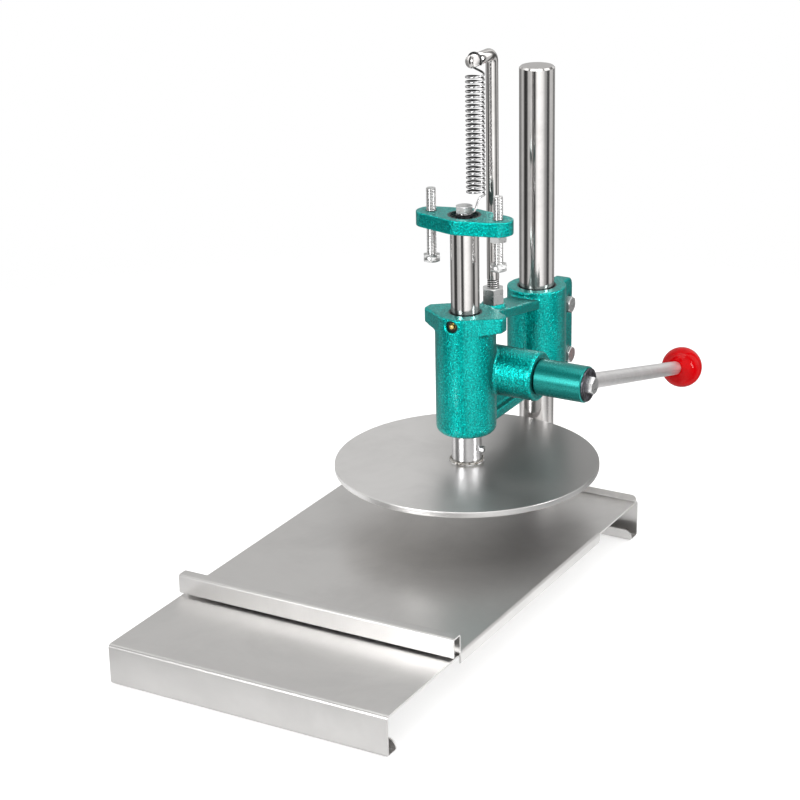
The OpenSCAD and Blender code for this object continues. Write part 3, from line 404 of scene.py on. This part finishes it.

# %% [markdown]
# ## Metals
# Sheet, bars and bolts are all bare metal, so one recipe serves them instead of ten trees: a
# metallic surface whose roughness and tiny bumps follow the grinding lines, and whose colour
# and roughness drift with the handling marks. Its values make it a mirror, a satin sheet or a
# dull plated bolt.

# %% The recipe for bare metal
# Where the painted shade along a fade direction starts and ends, and the share of the colour it leaves.
PAINTED_SHADE_FROM, PAINTED_SHADE_TO, PAINTED_SHADE_TONE = -0.25, 0.3, 0.48


def start_material(name):
    material = bpy.data.materials.new(name)
    material.use_nodes = True
    tree = material.node_tree
    return material, tree, tree.nodes["Principled BSDF"]


def bare_metal(name, colour, roughness, lines=(2500.0, 60.0, 2500.0), depth=0.02, marks=30.0,
               drift=0.05, tarnish=0.88, fade=None):
    """Lines and marks are counted per metre, and depth is the lines' depth in millimetres. Drift is how far
    the roughness strays, tarnish what the marks do to the colour, and fade the direction along which a
    painted shade darkens the colour."""
    material, tree, surface = start_material(name)
    grain = use_group(tree, grind, Lines_per_metre=lines)["Lines"]
    clouds = use_group(tree, handling, Size=marks)["Clouds"]
    tone = mix(tree, clouds, colour, [c * tarnish for c in colour])
    # Painted shade: the colour darkens along the fade direction, in place of a gradient that the lighting
    # doesn't give.
    if fade:
        along = vector_maths(tree, "DOT_PRODUCT", on_piece(tree), fade)
        disc_painted_shade = spread(tree, along, PAINTED_SHADE_FROM, PAINTED_SHADE_TO, 0, 1, smooth=True)
        tone = mix(tree, disc_painted_shade, tone, [c * PAINTED_SHADE_TONE for c in colour])
    lined = spread(tree, grain, 0.3, 0.7, roughness - drift, roughness + drift)
    rough = maths(tree, "MULTIPLY_ADD", clouds, drift, lined)
    bump = add_node(tree, "ShaderNodeBump", {"Height": grain, "Strength": 0.3, "Distance": depth * MM})
    fill_inputs(tree, surface, {"Base Color": tone, "Metallic": 1, "Roughness": rough,
                                "Normal": bump.outputs[0]})
    print("metal:", name, "roughness", roughness)
    return material


# %% [markdown]
# ### Sheet
# The base and the tray are folded from satin stainless sheet, ground along their length. The disc is a
# thicker sheet and paler. It goes from pale at the left rear to dark at the right front, in one long soft
# gradient that this tent doesn't throw on a flat plate. One more panel would do it, but it would also
# stripe the round bars. So the gradient is a painted shade: the disc's colour darkens along a slanted
# direction.

# %% Sheet finishes
satin_sheet = bare_metal("satin_sheet", (0.74, 0.73, 0.72), 0.33, depth=0.008, marks=9.0)
# The disc gets a painted shade, darker towards +X and +Y.
satin_disc = bare_metal("satin_disc", (0.92, 0.91, 0.90), 0.34, lines=(60.0, 2500.0, 2500.0),
                        depth=0.003, marks=12.0, fade=(4.2, 2.4, 0.0))

# %% [markdown]
# ### Bars
# The column, the ram and the spring's post are ground and chromed to a mirror, with lines so
# fine that only the reflections' edges show them. The lever is a plain turned bar, satin all
# over. A low roughness alone would make chrome look like glass, so its roughness still drifts.

# %% Bar finishes
mirror_bar = bare_metal("mirror_bar", (0.80, 0.78, 0.77), 0.12, lines=(900.0, 900.0, 2600.0),
                        depth=0.001, marks=40.0, drift=0.02)
satin_bar = bare_metal("satin_bar", (0.95, 0.94, 0.94), 0.38, lines=(900.0, 300.0, 900.0),
                       depth=0.004, marks=60.0)

# %% [markdown]
# ### Bolts, turned steel, tube, gear, black oxide and iron
# Bolts and nuts are plated, so they are bright but dull. The socket was turned and keeps its
# rings: lines that are close along Z and long round the bar. The tube under the base, the
# pinion and the foot are darker steels. The washer at the hub's end is blackened, with paler
# rubbed spots, which is a tarnish above 1.

# %% Finishes for the smaller pieces
plated_bolt = bare_metal("plated_bolt", (0.84, 0.85, 0.85), 0.30, lines=(500.0, 500.0, 900.0),
                         depth=0.006, marks=220.0, drift=0.07)
turned_steel = bare_metal("turned_steel", (0.70, 0.70, 0.71), 0.20, lines=(120.0, 120.0, 3000.0),
                          marks=90.0)
tube_steel = bare_metal("tube_steel", (0.52, 0.52, 0.52), 0.38, marks=25.0)
gear_steel = bare_metal("gear_steel", (0.42, 0.42, 0.43), 0.34, lines=(1500.0, 300.0, 300.0), marks=120.0)
black_oxide = bare_metal("black_oxide", (0.028, 0.028, 0.032), 0.42, lines=(900.0, 900.0, 900.0),
                         depth=0.25, marks=330.0, tarnish=7)
foot_iron = bare_metal("foot_iron", (0.30, 0.31, 0.32), 0.45, lines=(300.0, 300.0, 1800.0),
                       depth=0.03, marks=60.0)

# %% [markdown]
# ### The weld
# A weld that nobody polished is grey metal with brown and black burns. Its lumps are made in
# the mesh further down. The burns are the handling marks at a small size, here between two
# colours instead of two shades of one.

# %% Burnt weld
burnt_weld, tree, surface = start_material("burnt_weld")
burns = use_group(tree, handling, Size=330.0)["Clouds"]
fill_inputs(tree, surface, {
    "Base Color": mix(tree, burns, (0.62, 0.61, 0.58), (0.10, 0.075, 0.05)), "Metallic": 1,
    "Roughness": spread(tree, burns, 0, 1, 0.28, 0.55)})
print("weld:", len(tree.nodes), "nodes")

# %% [markdown]
# ### The spring's wire
# Hard drawn wire is rubbed bright where hands and cloths reach it, on the outside of the coils. Inside, the
# coils are black, partly with oil and partly as a painted shade, since little light gets in. Seen from the
# front, the far half of each coil shows its inside, and that makes the dark gaps between the bright turns.
# The distance from the spring's axis tells the two apart.

# %% Drawn wire
COIL_Y = 20
COIL_RADIUS = 7.15
WIRE_RADIUS = 0.85

drawn_wire, tree, surface = start_material("drawn_wire")
aside = from_axis(tree, on_piece(tree), (0, COIL_Y * MM, 0))
# Black inside the coil, partly oil and partly painted shade; the rubbed outside is bright.
rubbed_and_out_of_shade = spread(tree, aside, (COIL_RADIUS - 0.45) * MM, (COIL_RADIUS + 0.15) * MM, 0, 1)
wear = use_group(tree, handling, Size=150.0)["Clouds"]
bright = mix(tree, wear, (0.72, 0.72, 0.73), (0.60, 0.60, 0.61))
fill_inputs(tree, surface, {
    "Base Color": mix(tree, rubbed_and_out_of_shade, (0.06, 0.06, 0.06), bright), "Metallic": 1,
    "Roughness": spread(tree, rubbed_and_out_of_shade, 0, 1, 0.35, 0.18)})
print("wire turns bright from", COIL_RADIUS - 0.45, "mm off the axis")

# %% [markdown]
# ### The oiler
# A ball oiler is a pressed cup with a brass ball in its middle, and here the cup is coloured near black.
# The CAD node holds both in one solid, so the ball is told from the cup by its distance from
# the ball's centre, which is the middle of the node.

# %% Oiler brass
oiler_brass, tree, surface = start_material("oiler_brass")
from_ball = vector_maths(tree, "DISTANCE", on_piece(tree), [c * MM for c in OILER_BALL])
cup = spread(tree, from_ball, 2.65 * MM, 2.9 * MM, 0, 1)
fill_inputs(tree, surface, {
    "Base Color": mix(tree, cup, (0.80, 0.62, 0.22), (0.05, 0.05, 0.045)), "Metallic": 1,
    "Roughness": spread(tree, cup, 0, 1, 0.16, 0.5)})
print("oiler:", len(tree.nodes), "nodes")

# %% [markdown]
# ## Hammer paint on the castings
# The castings are sprayed with a metallic hammer paint: bright flakes under a clear coat, over a skin of
# shallow dimples. A plain glossy teal would look like plastic. So the surface is nearly metallic, the
# flakes mottle its colour and its roughness, the dimples are a bump, and the clear coat is the shader's own
# coat. Corners and creases get a painted shade: an ambient occlusion node finds them and darkens the teal
# there. The polished bars stand so close that they would be green with reflections, and the real ones
# hardly are, so mirror rays see the paint as grey.

# %% Hammer paint
def grey_in_mirrors(tree, paint):
    """The paint's colour, nearly grey where another piece mirrors it."""
    in_mirrors = add_node(tree, "ShaderNodeLightPath").outputs["Is Glossy Ray"]
    return mix(tree, times(tree, in_mirrors, 0.9), paint, (0.10, 0.105, 0.105))


cast_paint, tree, surface = start_material("hammer_paint")
skin = use_group(tree, hammer, Dimples_per_metre=640.0)
clouds = use_group(tree, handling, Size=18.0)["Clouds"]
teal = mix(tree, skin["Flakes"], (0.0, 0.28, 0.262), (0.0, 0.78, 0.71))
worn = mix(tree, times(tree, clouds, 0.3), teal, (0.0, 0.22, 0.205))
# Painted shade: the ambient occlusion darkens the teal in corners and creases.
corners = add_node(tree, "ShaderNodeAmbientOcclusion", {"Distance": 9 * MM}, samples=6).outputs["AO"]
painted_corner_shade = spread(tree, corners, 0.35, 0.9, 0.6, 0)
corner_shaded_paint = mix(tree, painted_corner_shade, grey_in_mirrors(tree, worn), (0.0, 0.10, 0.095))

# %% Painted shade round the bores, and the paint's gloss
def bore_shade_round(tree, y, radius):
    """A painted shade round the bore whose axis stands at y on the press's middle plane."""
    return use_group(tree, painted_bore_shade, Axis=(0.0, y * MM, 0.0), Radius=radius * MM)["Oil"]


# A dark ring painted round the ram's and the column's bores: painted shade for the gaps there.
ram_bore_shade = bore_shade_round(tree, 0, RAM_RADIUS + 0.45)
column_bore_shade = bore_shade_round(tree, COLUMN_Y, COLUMN_RADIUS + 0.4)
bore_shaded_paint = mix(tree, maths(tree, "MAXIMUM", ram_bore_shade, column_bore_shade), corner_shaded_paint, (0.0, 0.02, 0.02))
bump = add_node(tree, "ShaderNodeBump", {"Height": skin["Height"], "Strength": 1.0, "Distance": 0.34 * MM})
fill_inputs(tree, surface, {
    "Base Color": bore_shaded_paint, "Metallic": 0.95, "Roughness": spread(tree, skin["Flakes"], 0, 1, 0.36, 0.24),
    "Coat Weight": 0.24, "Coat Roughness": 0.12, "Normal": bump.outputs[0]})
print("hammer paint:", len(tree.nodes), "nodes")

# %% [markdown]
# ## Smooth paint on the lever's hub
# The hub is turned, so its paint lies smooth and shows one long highlight. It is the same
# teal, darker and without dimples. The flakes are still there, only finer and closer in
# colour, because a single flat colour would look printed.

# %% Hub paint
hub_paint, tree, surface = start_material("hub_paint")
skin = use_group(tree, hammer, Dimples_per_metre=900.0)
teal = mix(tree, skin["Flakes"], (0.0, 0.24, 0.22), (0.0, 0.30, 0.27))
fill_inputs(tree, surface, {
    "Base Color": grey_in_mirrors(tree, teal), "Metallic": 0.7,
    "Roughness": spread(tree, skin["Flakes"], 0, 1, 0.30, 0.26), "Coat Weight": 0.3, "Coat Roughness": 0.2})
print("hub paint:", len(tree.nodes), "nodes")

# %% [markdown]
# ## Red phenolic on the knob
# The knob is moulded from phenolic resin and keeps the mould's polish. A strong gloss would
# lay the pale tent over the red and turn it pink, so the shader's own reflection is turned
# down, and a thin coat gives back the small bright spot.

# %% Knob red
knob_red, tree, surface = start_material("knob_red")
clouds = use_group(tree, handling, Size=90.0)["Clouds"]
fill_inputs(tree, surface, {
    "Base Color": mix(tree, clouds, (0.58, 0.001, 0.003), (0.50, 0.001, 0.003)),
    "Roughness": spread(tree, clouds, 0, 1, 0.07, 0.11), "Specular IOR Level": 0.1,
    "Coat Weight": 0.03, "Coat Roughness": 0.05})
print("knob red:", len(tree.nodes), "nodes")

# %% [markdown]
# ## Which piece has which finish
# On the real press each piece gets its finish before it is put together, and a batch of bolts
# comes out of one plating bath. The list goes the same way: a finish, then all that has it.

# %% Give each CAD node its finish
FINISHES = {
    satin_sheet: ["base_sheet", "tray"],
    satin_disc: ["press_disc"],
    mirror_bar: ["column", "ram", "spring_post"],
    satin_bar: ["lever_rod"],
    plated_bolt: ["base_screws", "base_screw_nuts", "foot_bolts", "foot_nuts", "column_nut",
                  "clamp_bolts", "clamp_nuts", "post_nuts", "yoke_bolt", "stop_bolts", "stop_nut",
                  "disc_set_screw", "hub_end_bolt"],
    turned_steel: ["disc_socket"],
    tube_steel: ["base_rail"],
    gear_steel: ["pinion_shaft"],
    drawn_wire: ["return_spring"],
    oiler_brass: ["oiler"],
    # The yoke's spacer is black, and this black is also a painted shade for the gap under the yoke bolt's
    # head.
    black_oxide: ["keeper_screw", "hub_washer", "yoke_spacer"],
    foot_iron: ["column_foot"],
    cast_paint: ["press_head", "yoke_plate"],
    hub_paint: ["lever_hub"],
    knob_red: ["ball_knob"],
}
for finish, names in FINISHES.items():
    for name in names:
        data = nodes[name].data
        data.materials.clear()
        data.materials.append(finish)
print("finished nodes:", sum(len(names) for names in FINISHES.values()))

# %% [markdown]
# ## Working over a copy of a CAD node
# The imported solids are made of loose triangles, so a bevel or a remesh would tear them. A copy
# is merged before any tool works on it. The worked copy rides on the body of its node and
# stands for the node in the picture, and the node itself stays as it was packed.

# %% Copy a node and make a finished piece
def merged_copy(node):
    """A bmesh of the node's surface with its loose triangles joined."""
    mesh = bmesh.new()
    mesh.from_mesh(nodes[node].data)
    bmesh.ops.remove_doubles(mesh, verts=mesh.verts, dist=0.002 * MM)
    return mesh


def shade_smooth(data, sharp_angle=None):
    """Smooth shading, but for edges that are sharper than an angle in degrees."""
    for face in data.polygons:
        face.use_smooth = True
    if sharp_angle:
        data.set_sharp_from_angle(angle=math.radians(sharp_angle))


def finish_piece(mesh, name, body, finishes, stands_for=(), sharp_angle=None):
    """Makes the bmesh an object that rides on a body and stands for the CAD nodes given."""
    piece = bpy.data.objects.new(name, bpy.data.meshes.new(name))
    mesh.to_mesh(piece.data)
    mesh.free()
    for finish in finishes:
        piece.data.materials.append(finish)
    shade_smooth(piece.data, sharp_angle)
    scene.collection.objects.link(piece)
    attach(piece, body)
    if stands_for:
        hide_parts(*stands_for)
    return piece


# %% Turn modifiers into the mesh
def bake_modifiers(piece):
    graph = bpy.context.evaluated_depsgraph_get()
    solid = bpy.data.meshes.new_from_object(piece.evaluated_get(graph))
    piece.modifiers.clear()
    piece.data = solid


# %% [markdown]
# ## The castings
# Sand casting rounds every edge and fills every corner, and no bevel can follow edges that
# meet at so many angles. So a merged copy of the head is remeshed into small even cells, and
# the cells are smoothed: outer edges round off and inner corners fill, as in the mould. The
# bores are machined afterwards on the real head, so here too clean cylinders are cut from the
# casting last, and their edges stay crisp.

# %% Cast and bore
BORE_CLEARANCE = 0.35
OVERSHOOT = 2
CASTING_SHARP = 48


def cast(piece, cell, passes):
    """Turns a sharp-edged piece into a casting of small smooth cells."""
    cells = piece.modifiers.new("cells", "REMESH")
    cells.mode = "VOXEL"
    cells.voxel_size = cell * MM
    rounding = piece.modifiers.new("rounding", "SMOOTH")
    rounding.factor = 0.5
    rounding.iterations = passes
    bake_modifiers(piece)


def bore(piece, node, places, radius):
    """Cuts upright bores right through a piece that stands for a node."""
    low, high = reach(node)
    bottom, top = low.z - OVERSHOOT, high.z + OVERSHOOT
    tool = bmesh.new()
    for x, y in places:
        centre = Matrix.Translation((x * MM, y * MM, (bottom + top) / 2 * MM))
        bmesh.ops.create_cone(tool, cap_ends=True, segments=96, radius1=radius * MM,
                              radius2=radius * MM, depth=(top - bottom) * MM, matrix=centre)
    cutter = bpy.data.objects.new("cutter", bpy.data.meshes.new("cutter"))
    tool.to_mesh(cutter.data)
    tool.free()
    scene.collection.objects.link(cutter)
    cut = piece.modifiers.new("bores", "BOOLEAN")
    cut.object = cutter
    cut.solver = "MANIFOLD"
    bake_modifiers(piece)
    bpy.data.objects.remove(cutter)


# %% [markdown]
# ### The head
# The head is one iron casting: the barrel with its ears, the pinion's boss, the arm and the
# split clamp. Cells of just under a millimetre keep the arm's thin web and stay well under
# the number of triangles that a piece may have. Two bores are cut, for the ram and the column.

# %% The head
head = finish_piece(merged_copy("press_head"), "head_casting", "head", [cast_paint], ["press_head"])
cast(head, cell=0.95, passes=5)
bore(head, "press_head", [(0, 0)], RAM_RADIUS + BORE_CLEARANCE)
bore(head, "press_head", [(0, COLUMN_Y)], COLUMN_RADIUS + BORE_CLEARANCE)
shade_smooth(head.data, CASTING_SHARP)
print("head cells:", len(head.data.polygons))

# %% [markdown]
# ### The yoke plate
# The plate on the ram's top is cast too, with two ears for the stop bolts. It is thin, so its
# cells are smaller and get one more pass. The bolts' two bores are cut again afterwards.

# %% The yoke plate
BOLT_RADIUS = 4
EAR_CLEARANCE = 0.3

yoke = finish_piece(merged_copy("yoke_plate"), "yoke_casting", "ram", [cast_paint], ["yoke_plate"])
cast(yoke, cell=0.6, passes=6)
bore(yoke, "yoke_plate", [(-BOLT_X, 0), (BOLT_X, 0)], BOLT_RADIUS + EAR_CLEARANCE)
shade_smooth(yoke.data, CASTING_SHARP)
print("yoke cells:", len(yoke.data.polygons))

# %% [markdown]
# ## Turned and sawn pieces
# Turned bars and sawn tube have small broken edges that catch the light. A shader can fake
# them with its own bevel, but the fake leaves the outline sharp. So each of these nodes gets a
# copy whose edges are rounded by the width, in millimetres, that its making would leave. The
# overlap stays clamped, because thin walls meet some of the edges, and weighted normals keep
# the large faces flat.

# %% Soften the edges
SOFT = {
    "base": {"base_rail": 0.4, "column_foot": 0.8},
    "ram": {"press_disc": 0.4, "disc_socket": 0.3},
    "crank": {"lever_hub": 0.4, "hub_washer": 0.3},
}
FLAT_WITHIN, ROUNDED_OVER, SHARP_OVER = (math.radians(angle) for angle in (0.5, 32, 50))


def soft_copy(node, body, width):
    """A copy of a node with coplanar triangles joined and its sharp edges rounded."""
    mesh = merged_copy(node)
    bmesh.ops.dissolve_limit(mesh, angle_limit=FLAT_WITHIN, verts=mesh.verts, edges=mesh.edges)
    finish = nodes[node].data.materials[0]
    piece = finish_piece(mesh, node + "_softened", body, [finish], [node])
    edges = piece.modifiers.new("soft_edges", "BEVEL")
    edges.width = width * MM
    edges.segments = 2
    edges.limit_method = "ANGLE"
    edges.angle_limit = ROUNDED_OVER
    edges.use_clamp_overlap = True
    bake_modifiers(piece)
    piece.data.set_sharp_from_angle(angle=SHARP_OVER)
    flat_faces = piece.modifiers.new("flat_faces", "WEIGHTED_NORMAL")
    flat_faces.keep_sharp = True
    bake_modifiers(piece)


for body, widths in SOFT.items():
    for node, width in widths.items():
        soft_copy(node, body, width)
print("softened:", sum(len(widths) for widths in SOFT.values()))

# %% [markdown]
# ## Threads
# A thread is a groove that climbs by its pitch with every turn. A bump on a plain bolt would
# leave its outline straight, and the stop bolts are seen against white. So the groove is real:
# a V with its two roots one pitch apart is spun round the bolt's axis and lifted as it goes,
# and each turn joins the one below. The ends are then cut square and closed. The diameters and
# pitches are the usual coarse ones.

# %% Roll a thread
STEPS = 20  # to a turn
GROOVE = 0.55  # its depth, and below where its flat crest is, as shares of the pitch
CREST_FROM, CREST_TO = 0.42, 0.58
WORN = 0.04  # off the crest, in millimetres
THREADED_SHARP = 40  # degrees


def cut_level(mesh, height, side):
    """Cuts a bmesh at a height, drops what is above (side 1) or below (side -1)."""
    everything = mesh.verts[:] + mesh.edges[:] + mesh.faces[:]
    bmesh.ops.bisect_plane(mesh, geom=everything, dist=0.001 * MM, plane_co=(0, 0, height * MM),
                           plane_no=(0, 0, side), clear_outer=True)


def close_cuts(mesh):
    bmesh.ops.holes_fill(mesh, edges=[edge for edge in mesh.edges if edge.is_boundary])


def thread(diameter, pitch, low, high):
    """A bmesh of an upright threaded rod on the Z axis."""
    mesh = bmesh.new()
    crest, root = diameter / 2 - WORN, diameter / 2 - GROOVE * pitch
    start = low - 1.5 * pitch
    profile = [(root, start), (crest, start + CREST_FROM * pitch), (crest, start + CREST_TO * pitch),
               (root, start + pitch)]
    points = [mesh.verts.new((r * MM, 0, z * MM)) for r, z in profile]
    lines = [mesh.edges.new(pair) for pair in zip(points, points[1:])]
    turns = math.ceil((high - low) / pitch) + 3
    bmesh.ops.spin(mesh, geom=points + lines, cent=(0, 0, 0), axis=(0, 0, 1), angle=2 * math.pi * turns,
                   steps=STEPS * turns, dvec=(0, 0, pitch * MM / STEPS))
    bmesh.ops.remove_doubles(mesh, verts=mesh.verts, dist=0.01 * MM)
    cut_level(mesh, low, -1)
    cut_level(mesh, high, 1)
    close_cuts(mesh)
    bmesh.ops.recalc_face_normals(mesh, faces=mesh.faces)
    return mesh


# %% Put a thread on the rest of a bolt
def add_mesh(mesh, extra, place):
    """Moves a threaded bmesh to a place in millimetres and adds it. Its flanks get the second material."""
    for face in extra.faces:
        face.material_index = int(abs(face.normal.z) < 0.98)
    bmesh.ops.translate(extra, verts=extra.verts, vec=[c * MM for c in place])
    carried = bpy.data.meshes.new("carried")
    extra.to_mesh(carried)
    extra.free()
    mesh.from_mesh(carried)
    bpy.data.meshes.remove(carried)


# %% [markdown]
# ### Metal with dark grooves
# The crests of a thread are rubbed bright. From where the camera stands a groove is a few pixels wide, so
# light alone would hardly draw it, and its shade is painted: the groove shade group darkens what is nearer
# to the axis than the crests. One material would do, but the ends of a bolt have no grooves. So only the
# flanks of the thread have this finish.

# %% Threads with dark grooves
def threaded(name, colour, axis, radius):
    """Bright metal whose grooves round an upright axis are darkened by a painted shade."""
    material, tree, surface = start_material(name)
    wear = use_group(tree, handling, Size=200.0)["Clouds"]
    bright = mix(tree, wear, colour, [c * 0.85 for c in colour])
    axis = tuple(c * MM for c in axis)
    # Painted shade in the grooves: darker nearer to the axis than the crests.
    groove_shade_mask = use_group(tree, painted_groove_shade, Axis=axis, Radius=radius * MM)["Dirt"]
    fill_inputs(tree, surface, {
        "Base Color": mix(tree, groove_shade_mask, bright, (0.03, 0.03, 0.03)), "Metallic": 1,
        "Roughness": spread(tree, groove_shade_mask, 0, 1, 0.26, 0.5)})
    print("thread finish:", name, "radius", radius)
    return material


bolt_thread = threaded("bolt_thread", (0.88, 0.88, 0.88), (BOLT_X, 0.0, 0.0), BOLT_RADIUS - 0.2)
post_thread = threaded("post_thread", (0.80, 0.79, 0.78), (0.0, POST_Y, 0.0), POST_RADIUS)

# %% [markdown]
# ### The stop bolts
# Two M8 bolts hang from the yoke with their heads down, and their heads land on the casting's
# ears when the dough is thin enough. They are threaded from just over the head to the top. So
# the plain shank is cut off the copy over the head, and a thread takes its place.

# %% The stop bolts hang from the yoke with their threads showing
BOLT_PITCH = 1.25
OVER_HEAD = 250
head_top = reach("stop_bolts", lambda point: point.z > OVER_HEAD)[0].z
bolt_top = reach("stop_bolts")[1].z

bolts = merged_copy("stop_bolts")
cut_level(bolts, head_top + 0.6, 1)
close_cuts(bolts)
for x in (-BOLT_X, BOLT_X):
    add_mesh(bolts, thread(2 * BOLT_RADIUS, BOLT_PITCH, head_top + 0.3, bolt_top), (x, 0, 0))
stop_bolts = finish_piece(bolts, "stop_bolts_threaded", "ram", [plated_bolt, bolt_thread], ["stop_bolts"],
                          sharp_angle=THREADED_SHARP)
print("stop bolts:", len(stop_bolts.data.polygons))

# %% [markdown]
# ### The spring's post
# The post is a chromed bar, threaded only at its foot, where a nut and a lock nut hold it on
# the arm. A short length of the thread shows over the nuts. The copy is cut there, keeps its
# upper part and its bend, and stands on a thread that starts inside the nuts.

# %% The spring's post is threaded where it goes through its nuts
POST_PITCH = 1.75
POST_THREAD = (201.5, 222.2)

bar = merged_copy("spring_post")
cut_level(bar, POST_THREAD[1] - 0.2, -1)
close_cuts(bar)
add_mesh(bar, thread(2 * POST_RADIUS, POST_PITCH, *POST_THREAD), (0, POST_Y, 0))
post = finish_piece(bar, "spring_post_threaded", "head", [mirror_bar, post_thread], ["spring_post"],
                    sharp_angle=THREADED_SHARP)
print("spring post:", len(post.data.polygons))

# %% [markdown]
# ## The return spring
# A spring is wound from one length of hard drawn wire, and its last turns are bent out into hooks: a flat
# one round the yoke's bolt below, a standing one round the post's arm above. The CAD helix is faceted,
# because exact solids are costly to sweep. Here the wire is a curve with a round section, so it is smooth.
# The wound wire is put on no body, so it stays where it is wound when the ram goes down.

# %% Bends of the wire
def ring_point(centre, radius, degrees):
    turned = math.radians(degrees)
    return Vector((centre[0] + radius * math.cos(turned), centre[1] + radius * math.sin(turned), centre[2]))


def eased(a, leave, b, arrive, count=14):
    """Points of a curve that leaves a along one direction and arrives at b along another."""
    hold = 0.45 * (b - a).length
    p, q = a + leave.normalized() * hold, b - arrive.normalized() * hold
    steps = [i / count for i in range(1, count)]
    return [a * (1 - t) ** 3 + p * 3 * t * (1 - t) ** 2 + q * 3 * t * t * (1 - t) + b * t ** 3
            for t in steps]


# %% The wire's path
TURNS = 201 / 8
COIL_LOW, COIL_HIGH, COIL_FROM = 301, 399, -20
LOW_HOOK_Z, LOW_HOOK_RADIUS = 290.65, 5.15
HIGH_HOOK_Z, HIGH_HOOK_RADIUS = 410.2, 6.13
LOW_BEND, HIGH_BEND = (-225, 225), (-110, -280)  # from which angle, and how far round, in degrees
COIL_STEPS, LOW_STEPS, HIGH_STEPS = 600, 24, 30

low_hook = [ring_point((0, 0, LOW_HOOK_Z), LOW_HOOK_RADIUS,
                       LOW_BEND[0] + LOW_BEND[1] * i / LOW_STEPS)
            for i in range(LOW_STEPS + 1)]
lead = [Vector((LOW_HOOK_RADIUS, LOW_HOOK_RADIUS * i / 4, LOW_HOOK_Z)) for i in range(1, 5)]
coil = [ring_point((0, COIL_Y, COIL_LOW + (COIL_HIGH - COIL_LOW) * i / COIL_STEPS), COIL_RADIUS,
                   COIL_FROM + 360 * TURNS * i / COIL_STEPS) for i in range(COIL_STEPS + 1)]
high_hook = []
for i in range(HIGH_STEPS + 1):
    angle = math.radians(HIGH_BEND[0] + HIGH_BEND[1] * i / HIGH_STEPS)
    sideways = COIL_Y + WIRE_RADIUS - 2 * WIRE_RADIUS * i / HIGH_STEPS
    high_hook.append(Vector((HIGH_HOOK_RADIUS * math.cos(angle), sideways,
                             HIGH_HOOK_Z + HIGH_HOOK_RADIUS * math.sin(angle))))
path = (low_hook + lead + eased(lead[-1], lead[-1] - lead[-2], coil[0], coil[1] - coil[0]) + coil
        + eased(coil[-1], coil[-1] - coil[-2], high_hook[0], high_hook[1] - high_hook[0]) + high_hook)
length = sum((b - a).length for a, b in zip(path, path[1:]))
print("wire:", len(path), "points,", round(length), "mm long")

# %% Wind the spring
wire = bpy.data.curves.new("return_spring_wire", "CURVE")
wire.dimensions = "3D"
wire.bevel_depth = WIRE_RADIUS * MM
wire.bevel_resolution = 3
wire.use_fill_caps = True
line = wire.splines.new("POLY")
line.points.add(len(path) - 1)
for corner, point in zip(line.points, path):
    corner.co = (*(point * MM), 1)
wound = bpy.data.objects.new("return_spring_wire", wire)
scene.collection.objects.link(wound)
graph = bpy.context.evaluated_depsgraph_get()
tube = bpy.data.meshes.new_from_object(wound.evaluated_get(graph))
spring = bpy.data.objects.new("return_spring_wound", tube)
bpy.data.objects.remove(wound)
scene.collection.objects.link(spring)
spring.data.materials.clear()
spring.data.materials.append(drawn_wire)
shade_smooth(spring.data, 50)
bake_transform(spring)
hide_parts("return_spring")
print("spring faces:", len(spring.data.polygons))

# %% [markdown]
# ## The weld round the socket
# The socket is welded to the disc by hand, and the bead stays as it was laid: a rope of small
# lumps. Beads could be set one by one round the ring, but that looks like a string of pearls.
# So a ring of round section is spun, and a fine cloud texture pushes its surface in and out.

# %% Lay the bead
BEAD_RADIUS, BEAD_THICKNESS, BEAD_RISE = 13.1, 1.45, 1.2

rope = bmesh.new()
beside = Matrix.Translation((BEAD_RADIUS * MM, 0, (DISC_TOP + BEAD_RISE) * MM))
bmesh.ops.create_circle(rope, segments=16, radius=BEAD_THICKNESS * MM,
                        matrix=beside @ Matrix.Rotation(math.pi / 2, 4, "X"))
bmesh.ops.spin(rope, geom=rope.verts[:] + rope.edges[:], cent=(0, 0, 0), axis=(0, 0, 1), angle=2 * math.pi,
               steps=220, use_merge=True)
bmesh.ops.remove_doubles(rope, verts=rope.verts, dist=0.005 * MM)
bmesh.ops.recalc_face_normals(rope, faces=rope.faces)
bead = finish_piece(rope, "weld_bead", "ram", [burnt_weld])

# %% Push it into lumps
LUMP_SIZE, LUMP_HEIGHT = 2.2, 1.0

lumps = bpy.data.textures.new("weld_lumps", "CLOUDS")
lumps.noise_scale = LUMP_SIZE * MM
lumps.noise_depth = 2
uneven = bead.modifiers.new("lumps", "DISPLACE")
uneven.texture = lumps
uneven.texture_coords = "LOCAL"
uneven.strength = LUMP_HEIGHT * MM
uneven.mid_level = 0.62
bake_modifiers(bead)
print("weld bead:", len(bead.data.polygons))
